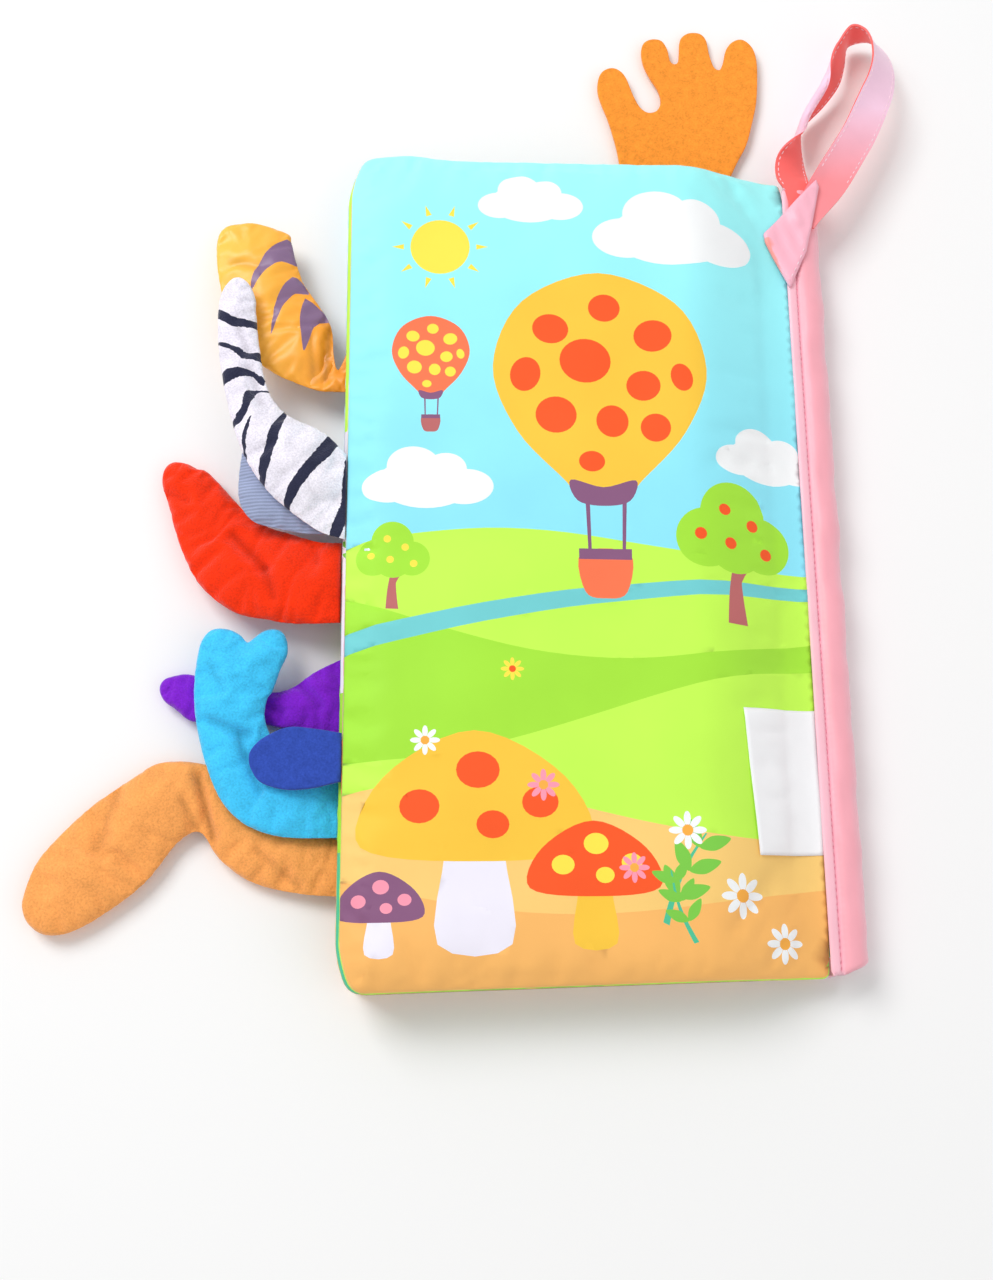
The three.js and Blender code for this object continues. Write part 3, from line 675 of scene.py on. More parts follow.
# %% The pictures as tables
PICTURES = {
    "back_cover_upper": {
        "sky": ("sky", "haze"),
        "ground": [(0.49, "lime", 0.4, 0.06, 0.05), (0.4, "grass", 2.6, 0.07, -0.1)],
        "stream": (-30, -12, 6.0, 3.5, "teal", 5.0),
        "front": [(0.3, "lime", 4.0, 0.06, 0.12), (0.19, "sand", 0.9, 0.08, 0.06),
                  (0.105, "clay", 2.9, 0.05, -0.05)],
        "shapes": [
            ("sun", -0.6, 0.74, 0.066), ("cloud", 0.44, 0.78, 0.25), ("cloud", -0.2, 0.86, 0.16),
            ("cloud", -0.66, 0.14, 0.19), ("cloud", 0.84, 0.22, 0.17),
            ("balloon", 0.1, 0.4, 0.235),
            ("balloon", -0.64, 0.46, 0.085, {"skin": "coral", "spot": "sun", "basket": "bark"}),
            ("round_tree", 0.66, -0.19, 0.15), ("round_tree", -0.8, -0.16, 0.09, {"fruit": "sun"}),
            ("mushroom", -0.46, -0.9, 0.37, {"cap": "gold", "spot": "fire", "foot": "milk"}),
            ("mushroom", 0.02, -0.9, 0.21, {"cap": "fire", "spot": "sun", "foot": "gold"}),
            ("mushroom", -0.84, -0.92, 0.14, {"cap": "plum", "spot": "rose", "foot": "milk"}),
            ("sprig", 0.3, -0.86, 0.2, {"turn": 64}), ("sprig", 0.42, -0.9, 0.15, {"turn": 108}),
            ("daisy", 0.62, -0.8, 0.045), ("daisy", 0.4, -0.66, 0.038),
            ("daisy", 0.8, -0.9, 0.04), ("daisy", -0.66, -0.46, 0.03),
            ("daisy", -0.18, -0.56, 0.032, {"petal": "rose"}),
            ("daisy", 0.18, -0.74, 0.03, {"petal": "rose"}),
            ("daisy", -0.3, -0.3, 0.024, {"petal": "sun", "heart": "fire"}),
        ],
    },
    "back_cover_lower": {
        "sky": ("sand", "cloud"),
        "ground": [(0.42, "rose", 1.1, 0.07, 0.0), (0.3, "coral", 3.0, 0.07, 0.1)],
        "front": [(0.16, "lime", 0.2, 0.06, -0.06)],
        "shapes": [
            ("cloud", -0.5, 0.72, 0.22), ("cloud", 0.5, 0.5, 0.2), ("sun", 0.56, 0.82, 0.07),
            ("kite", -0.2, 0.36, 0.16, {"turn": 18}),
            ("kite", 0.45, 0.12, 0.11, {"turn": -24, "one": "blue"}),
            ("round_tree", -0.55, -0.42, 0.16, {"crown": "leaf"}), ("mushroom", 0.4, -0.8, 0.25),
            ("daisy", -0.2, -0.78, 0.05), ("daisy", -0.7, -0.85, 0.04), ("daisy", 0.8, -0.6, 0.04),
        ],
    },
    "page_three_upper": {
        "sky": ("lime", "lime"),
        "ground": [(0.64, "milk", 0.6, 0.02, 0.0), (0.31, "grass", 2.0, 0.05, 0.0)],
        "front": [(0.14, "mint", 1.0, 0.05, 0.05)],
        "shapes": [
            ("sun", 0.5, 0.78, 0.08),
            ("round_tree", -0.3, 0.42, 0.2, {"crown": "leaf", "fruit": "sun"}),
            ("sprig", -0.93, 0.16, 0.1, {"turn": 60}),
            ("sprig", -0.95, -0.06, 0.1, {"turn": 100}),
            ("sprig", -0.96, -0.25, 0.1, {"turn": 40, "ink": "plum"}),
            ("sprig", -0.1, -0.3, 0.2, {"turn": 80}),
            ("mushroom", 0.3, -0.35, 0.22, {"cap": "plum", "spot": "rose"}),
            ("daisy", -0.5, -0.6, 0.05), ("daisy", 0.1, -0.75, 0.045, {"petal": "rose"}),
            ("daisy", 0.65, -0.66, 0.05),
        ],
    },
    "page_three_lower": {
        "sky": ("haze", "milk"),
        "ground": [(0.5, "mint", 0.3, 0.06, 0.1), (0.34, "grass", 2.2, 0.06, 0.0)],
        "front": [(0.15, "sand", 3.0, 0.05, 0.0)],
        "shapes": [
            ("cloud", 0.4, 0.7, 0.2),
            ("balloon", -0.35, 0.42, 0.17, {"skin": "rose", "spot": "violet"}),
            ("round_tree", 0.45, -0.15, 0.17), ("mushroom", -0.4, -0.75, 0.24, {"cap": "coral"}),
            ("daisy", 0.2, -0.7, 0.05), ("daisy", 0.6, -0.85, 0.04),
        ],
    },
    "page_two_upper": {
        "sky": ("sand", "sun"),
        "ground": [(0.55, "amber", 1.0, 0.06, -0.1), (0.36, "lime", 0.0, 0.05, 0.1)],
        "front": [(0.17, "leaf", 2.0, 0.05, 0.0)],
        "shapes": [
            ("sun", -0.5, 0.76, 0.09, {"ink": "fire"}),
            ("kite", 0.25, 0.4, 0.16, {"turn": -15, "one": "plum"}),
            ("round_tree", -0.5, -0.1, 0.18, {"crown": "leaf"}), ("mushroom", 0.35, -0.7, 0.28),
            ("daisy", -0.1, -0.6, 0.05), ("daisy", -0.6, -0.75, 0.05, {"petal": "rose"}),
        ],
    },
    "page_two_lower": {
        "sky": ("haze", "sky"),
        "ground": [(0.45, "deep", 0.2, 0.05, 0.0), (0.33, "teal", 1.8, 0.06, 0.0)],
        "front": [(0.18, "sand", 0.8, 0.05, 0.05)],
        "shapes": [
            ("cloud", -0.4, 0.66, 0.24), ("cloud", 0.45, 0.4, 0.18), ("sun", 0.5, 0.8, 0.08),
            ("balloon", 0.1, 0.24, 0.15, {"skin": "sun", "spot": "coral"}),
            ("sprig", -0.4, -0.75, 0.2, {"turn": 80}),
            ("mushroom", 0.45, -0.8, 0.2, {"cap": "violet", "spot": "milk"}),
            ("daisy", 0.0, -0.82, 0.05),
        ],
    },
    "page_one_upper": {
        "sky": ("violet", "rose"),
        "ground": [(0.5, "plum", 0.7, 0.07, 0.05), (0.34, "mint", 2.4, 0.05, 0.0)],
        "front": [(0.17, "grass", 1.0, 0.05, 0.0)],
        "shapes": [
            ("sun", 0.45, 0.74, 0.08, {"ink": "milk"}),
            ("cloud", -0.4, 0.55, 0.22, {"ink": "milk"}),
            ("round_tree", 0.4, -0.12, 0.19, {"crown": "leaf", "fruit": "rose"}),
            ("mushroom", -0.35, -0.72, 0.28), ("daisy", 0.15, -0.68, 0.05),
            ("daisy", 0.65, -0.8, 0.045, {"petal": "sun"}),
        ],
    },
    "page_one_lower": {
        "sky": ("sky", "milk"),
        "ground": [(0.4, "lime", 0.9, 0.06, 0.0), (0.28, "grass", 3.3, 0.05, 0.0)],
        "front": [(0.12, "clay", 0.1, 0.04, 0.0)],
        "shapes": [
            ("cloud", 0.3, 0.72, 0.25),
            ("kite", -0.3, 0.3, 0.18, {"turn": 12, "one": "blue", "two": "sun"}),
            ("round_tree", 0.5, -0.3, 0.15), ("daisy", -0.2, -0.6, 0.06),
            ("daisy", 0.2, -0.82, 0.05),
        ],
    },
    "front_cover_upper": {
        "sky": ("haze", "cloud"),
        "ground": [(0.44, "sand", 0.9, 0.06, 0.05), (0.3, "amber", 2.1, 0.06, 0.0)],
        "front": [(0.15, "bark", 0.6, 0.05, 0.0)],
        "shapes": [
            ("sun", -0.45, 0.78, 0.08), ("cloud", 0.3, 0.6, 0.2),
            ("sprig", -0.35, -0.5, 0.26, {"turn": 84}),
            ("mushroom", 0.35, -0.62, 0.3, {"cap": "fire", "spot": "milk"}),
            ("daisy", 0.0, -0.72, 0.05),
        ],
    },
    "front_cover_lower": {
        "sky": ("milk", "sky"),
        "ground": [(0.48, "lime", 0.2, 0.07, 0.0), (0.36, "mint", 2.7, 0.06, 0.08)],
        "front": [(0.2, "sand", 1.6, 0.06, 0.0)],
        "shapes": [
            ("sun", 0.5, 0.74, 0.09), ("cloud", -0.4, 0.7, 0.24),
            ("balloon", -0.15, 0.34, 0.2, {"skin": "coral", "spot": "sun"}),
            ("round_tree", 0.5, -0.2, 0.2),
            ("mushroom", -0.4, -0.78, 0.26, {"cap": "gold", "spot": "fire"}),
            ("daisy", 0.2, -0.74, 0.055), ("daisy", 0.66, -0.84, 0.045, {"petal": "rose"}),
        ],
    },
}
MOTIFS = {
    "sun": sun, "cloud": cloud, "balloon": balloon, "round_tree": round_tree,
    "mushroom": mushroom, "sprig": sprig, "daisy": daisy, "kite": kite,
}


def picture_layers(name):
    """The shapes of one picture from back to front, each with its ink."""
    picture = PICTURES[name]
    layers = []
    for row in picture["ground"]:
        layers += hill(*row)
    if "stream" in picture:
        layers += stream(*picture["stream"])
    for row in picture["front"]:
        layers += hill(*row)
    for motif, x, y, size, *more in picture["shapes"]:
        place = (x * PAGE_WIDTH / 2, y * FORE_HALF, size * PAGE_WIDTH)
        layers += MOTIFS[motif](*place, **(more[0] if more else {}))
    return layers


print("pictures:", len(PICTURES))

# %% [markdown]
# ## From outline to cloth
#
# The points of a cloth are rings that follow its outline, close together where it curves over at
# the seam, and then an even field of points. Triangles that no shape holds take the colour of the
# sky, which fades from the top of the page down to the horizon.

# %% Triangulate a cloth with its print
RINGS = (0.22, 0.55, 1.0, 1.6, 2.4, 3.4, 4.6, 6.0)
FIELD_STEP = 2.0
# The rows of an even field of triangles are this share of their step apart.
ROW_STEP = 0.87
SIDE_CLEAR = 0.4
# The sky has faded to its lower ink after this share of half the page's height.
SKY_RUN = 1.1


def open_sides(ring, last=False):
    """Marks which sides of a ring aren't sewn: none of them, or only its last."""
    marks = np.zeros(len(ring), bool)
    marks[-1] = last
    return marks


# How near a ring's points may be to the seam, and the field to the last ring, in shares.
RING_HELD, FIELD_APART = 0.97, 0.6


def field_points(outline, open_side, rings, step):
    """Points inside an outline: rings near its sewn sides and an even field in the middle."""
    found = []
    along = np.roll(outline, -1, axis=0) - np.roll(outline, 1, axis=0)
    inward = np.stack([-along[:, 1], along[:, 0]], axis=1)
    inward /= np.linalg.norm(inward, axis=1)[:, None]
    for inset in rings:
        ring = outline + inward * inset
        far, _ = seam_distance(ring, outline, open_side)
        found.append(ring[(far > inset * RING_HELD) & ~open_side])
    low, high = outline.min(axis=0), outline.max(axis=0)
    xs, ys = np.arange(low[0], high[0], step), np.arange(low[1], high[1], step * ROW_STEP)
    grid = np.array([(x + (step / 2 if k % 2 else 0), y) for k, y in enumerate(ys) for x in xs])
    grid = grid[(grid[:, 0] < high[0] - SIDE_CLEAR) & (grid[:, 0] > low[0] + SIDE_CLEAR)]
    far, _ = seam_distance(grid, outline, open_side)
    found.append(grid[far > rings[-1] + step * FIELD_APART])
    return np.concatenate(found)


def counter_clockwise(ring):
    """A ring of points, turned round if it runs clockwise."""
    ahead = np.roll(ring, -1, axis=0)
    return ring if (ring[:, 0] * ahead[:, 1] - ring[:, 1] * ahead[:, 0]).sum() > 0 else ring[::-1]


def cut_sheet(outline, points, layers=()):
    """Triangles over an outline, with the shapes of its layers cut in, and the top layer of each.
    Layer 0 is the bare cloth."""
    coords = [Vector(p) for p in outline] + [Vector(p) for p in points]
    faces = [list(range(len(outline)))]
    for ring, _ in layers:
        faces.append(list(range(len(coords), len(coords) + len(ring))))
        coords += [Vector(p) for p in counter_clockwise(ring)]
    verts, _, tris, _, _, held = delaunay_2d_cdt(coords, [], faces, 1, 1e-4)
    kept = [(t, max(h)) for t, h in zip(tris, held) if 0 in h]
    return np.array([tuple(v) for v in verts]), [t for t, _ in kept], [h for _, h in kept]


def wind(flat, tris, upward=True):
    """The points that triangles use, and the triangles numbered by them, all facing up or down."""
    used = sorted({i for t in tris for i in t})
    order = {old: new for new, old in enumerate(used)}
    rings = []
    for t in tris:
        a, b, c = (flat[i] for i in t)
        turn = (b[0] - a[0]) * (c[1] - a[1]) - (b[1] - a[1]) * (c[0] - a[0])
        ring = [order[i] for i in t]
        rings.append(ring if (turn > 0) == upward else ring[::-1])
    return used, rings


def paint(piece, colours, domain):
    """Stores a colour on each corner or point of a piece, where the finishes read it."""
    rows = np.ones((len(colours), 4), np.float32)
    rows[:, :3] = colours
    store = piece.data.color_attributes.new("print", "FLOAT_COLOR", domain)
    store.data.foreach_set("color", rows.ravel())


def paint_faces(piece, faces, tops, base, inks):
    """Gives each face the ink of its shape, and the bare cloth its own colour at each point."""
    corners = [inks[top - 1] if top else base[i] for face, top in zip(faces, tops) for i in face]
    paint(piece, corners, "CORNER")


def sheet_object(name, flat, tris, heights, tops, layers, sky_inks, upper):
    """A cloth with its print as a colour on every face corner."""
    used, faces = wind(flat, tris, upper)
    place = np.column_stack([flat[used], heights[used]])
    made = mesh_object(name, place, faces)
    high, low = (np.array(colour_of(INK[ink])) for ink in sky_inks)
    down = np.clip((FORE_HALF - place[:, 1]) / (SKY_RUN * FORE_HALF), 0, 1)[:, None]
    base = (high + (low - high) * down).tolist()
    paint_faces(made, faces, tops, base, [colour_of(INK[ink]) for _, ink in layers])
    return made


def closed_piece(name, flat, tris, tops, upper, lower, ground=(1, 1, 1), inks=()):
    """Two layers over one outline and the rim between them, coloured by the shape that holds each
    face. A layer is given as heights, or as points where the cloth has also moved sideways. ground
    is one colour, or a function that gives the colours of all points."""
    used, rings = wind(flat, tris)
    count = len(used)
    layers = [np.column_stack([flat, side]) if side.ndim == 1 else side for side in (upper, lower)]
    place = np.concatenate([side[used] for side in layers])
    base = (ground(place) if callable(ground) else np.tile(ground, (len(place), 1))).tolist()
    faces, shapes, edges = [], [], {}
    for ring, top in zip(rings, tops):
        for p, q in zip(ring, ring[1:] + ring[:1]):
            edges[(p, q)] = top
        faces += [ring, [i + count for i in ring[::-1]]]
        shapes += [top, top]
    for (p, q), top in edges.items():
        if (q, p) not in edges:
            faces.append([q, p, p + count, q + count])
            shapes.append(top)
    made = mesh_object(name, place, faces)
    paint_faces(made, faces, shapes, base, inks)
    return made


def grid_piece(name, grid):
    """A surface through a grid of points in millimetres."""
    n, m = grid.shape[:2]
    faces = [(i * m + j, i * m + j + 1, (i + 1) * m + j + 1, (i + 1) * m + j)
             for i in range(n - 1) for j in range(m - 1)]
    return mesh_object(name, grid, faces)


def apply_modifiers(piece):
    """Puts what the modifiers of a piece make in place of its own mesh."""
    graph = bpy.context.evaluated_depsgraph_get()
    done = bpy.data.meshes.new_from_object(piece.evaluated_get(graph))
    old = piece.data
    piece.modifiers.clear()
    piece.data = done
    bpy.data.meshes.remove(old)


def thicken(piece, thickness, offset=-1.0, material_offset=0):
    """Gives a sheet its thickness in millimetres, on the inner side if nothing else is said."""
    solid = piece.modifiers.new("thickness", "SOLIDIFY")
    solid.thickness = thickness * MM
    solid.offset = offset
    solid.material_offset = material_offset
    solid.use_even_offset = False
    apply_modifiers(piece)


def fit_out(piece, finish, node=None, body=None):
    """Gives a piece its finish, hides its node in the frame, and puts it on the body it rides on.
    """
    if finish:
        piece.data.materials.clear()
        piece.data.materials.append(finish)
    if body:
        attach(piece, body)
    if node:
        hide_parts(node)
    print(piece.name, "has", len(piece.data.polygons), "faces")


# %% [markdown]
# ## Cloth that fills out
#
# A stuffed shape has a little more cloth than its outline needs, so it buckles into wrinkles where
# the seam holds it. That is hard to draw and easy to simulate: the closed piece gets an inner
# pressure, its cloth is made a few hundredths longer than it is, and the solver finds the wrinkles.
# Each point may only move a little, so that the piece keeps its size. The top leaf is simulated
# once, and every leaf under it takes the same wrinkles, fading towards the table, because the
# leaves press on each other.

# %% Cloth simulation for padded pieces
# A small piece is simulated larger than it is, because the solver is made for clothes.
SIM_SCALE = 10.0
SIM_FRAMES = 16
SIM_CLOTH = {
    "quality": 6, "mass": 0.15, "tension_stiffness": 20, "compression_stiffness": 20,
    "shear_stiffness": 8, "bending_stiffness": 0.4,
    "use_pressure": True, "vertex_group_mass": "held",
}
SPREAD_REACH, SPREAD_COUNT = 0.8, 4


def swell_by_cloth(layers, tris, held, looser, pressure, cap):
    """Lets a cloth simulation fill a closed piece, and returns how far each point of each layer
    moved. held marks the points that stay, looser is how much more cloth there is than space."""
    flat = layers[0][:, :2]
    count = len(flat)
    used, _ = wind(flat, tris)
    piece = closed_piece("trial", flat, tris, [0] * len(tris), *layers)
    mesh = piece.data
    start = np.empty(len(mesh.vertices) * 3)
    mesh.vertices.foreach_get("co", start)
    mesh.vertices.foreach_set("co", start * SIM_SCALE)
    group = piece.vertex_groups.new(name="held")
    stay = [k for side in (0, 1) for k, i in enumerate(used, side * len(used)) if held[i]]
    group.add(stay, 1.0, "REPLACE")
    cloth = piece.modifiers.new("swell", "CLOTH")
    rules = {**SIM_CLOTH, "uniform_pressure_force": pressure, "shrink_min": -looser}
    for rule, value in rules.items():
        setattr(cloth.settings, rule, value)
    cloth.settings.effector_weights.gravity = 0
    cloth.collision_settings.use_collision = False
    cloth.point_cache.frame_start, cloth.point_cache.frame_end = 1, SIM_FRAMES
    scene = bpy.context.scene
    for frame in range(1, SIM_FRAMES + 1):
        scene.frame_set(frame)
    done = piece.evaluated_get(bpy.context.evaluated_depsgraph_get()).to_mesh()
    end = np.empty(len(start))
    done.vertices.foreach_get("co", end)
    step = ((end / SIM_SCALE - start) / MM).reshape(2, len(used), 3)
    far = np.linalg.norm(step, axis=2)
    step *= (np.minimum(far, cap) / np.maximum(far, 1e-9))[:, :, None]
    scene.frame_set(1)
    bpy.data.objects.remove(piece)
    bpy.data.meshes.remove(mesh)
    moves = np.zeros((2, count, 3))
    moves[:, used] = step
    return moves


def spread(moves, places, points):
    """Moves that are known at some places, carried over to other points near them."""
    tree = kdtree.KDTree(len(places))
    for i, place in enumerate(places):
        tree.insert((place[0], place[1], 0), i)
    tree.balance()
    carried = np.zeros((len(moves), len(points), 3))
    for k, point in enumerate(points):
        near = tree.find_n((point[0], point[1], 0), SPREAD_COUNT)
        weight = np.array([math.exp(-(gap / SPREAD_REACH) ** 2) + 1e-9 for _, _, gap in near])
        picked = moves[:, [i for _, i, _ in near]]
        carried[:, k] = (picked * weight[None, :, None]).sum(axis=1) / weight.sum()
    return carried


WRINKLE_STEP = 2.0
LEAF_SIM_STEP, LEAF_SIM_RINGS = 2.6, (1.2, 3.0)
# The simulation doesn't move the cloth this near to its seams and to the hinge line.
HELD_SEAM, HELD_HINGE = 0.5, 9.0
LEAF_LOOSER, LEAF_PRESSURE, LEAF_CAP = 0.03, 2.0, 1.1


def wrinkle_map():
    """Heights of the top leaf's wrinkles on an even grid, in millimetres."""
    level = LEAF_COUNT - 1
    outline, open_side = leaf_outline(top_low[0], LEAF_SIM_STEP)
    points = field_points(outline, open_side, LEAF_SIM_RINGS, LEAF_SIM_STEP)
    flat, tris, _ = cut_sheet(outline, points)
    far, _ = seam_distance(flat, outline, open_side)
    held = (far < HELD_SEAM) | (flat[:, 0] > HINGE_X - HELD_HINGE)
    layers = [np.column_stack([flat, leaf_height(flat, level, side, outline, open_side)])
              for side in (True, False)]
    moves = swell_by_cloth(layers, tris, held, LEAF_LOOSER, LEAF_PRESSURE, LEAF_CAP)
    xs = np.arange(top_low[0] - 2, HINGE_X + 2, WRINKLE_STEP)
    ys = np.arange(-FORE_HALF - 2, FORE_HALF + 4, WRINKLE_STEP)
    spots = np.array([(x, y) for x in xs for y in ys])
    heights = spread(moves[:1], flat, spots)[0, :, 2].reshape(len(xs), len(ys))
    return xs[0], ys[0], heights


wrinkles = wrinkle_map()
least, most = wrinkles[2].min().round(2), wrinkles[2].max().round(2)
print("wrinkles of the top leaf go from", least, "to", most, "mm")

# %% Sew the leaves
LEAF_BODY = {"front_cover": "spine_and_front_cover"}
# Cloth and tails stay this far above the table.
TABLE_CLEAR, TAIL_CLEAR = 0.02, 0.05
leaf_outlines = {}
for level, leaf in enumerate(LEAVES):
    fore_x = box_mm(f"{leaf}_upper_cloth")[0][0]
    leaf_outlines[leaf] = leaf_outline(fore_x)
    outline, open_side = leaf_outlines[leaf]
    points = field_points(outline, open_side, RINGS, FIELD_STEP)
    for side in ("upper", "lower"):
        layers = picture_layers(f"{leaf}_{side}")
        flat, tris, tops = cut_sheet(outline, points, layers)
        heights = leaf_height(flat, level, side == "upper", outline, open_side)
        if level == 0 and side == "lower":
            heights = np.maximum(heights, TABLE_CLEAR)
        sheet = sheet_object(f"{leaf}_{side}_print", flat, tris, heights, tops, layers,
                             PICTURES[f"{leaf}_{side}"]["sky"], side == "upper")
        thicken(sheet, CLOTH_THICK)
        fit_out(sheet, printed_cloth, f"{leaf}_{side}_cloth",
                LEAF_BODY.get(leaf, leaf))

# %% [markdown]
# ## Stuffed tails and felt pieces
#
# A stuffed tail is two layers of plush sewn round their edge, turned and filled, so it is an
# outline that swells to an ellipse over its own width and pinches in at the seam. A row of ribs
# gives each tail's shape from the root to the tip: how far out and how far up the fore edge each
# end of the rib lies, in shares of the tail's reach, how high it lies against the seam, and how
# full it is. The outline is then fitted to the box of the solid in the frame.

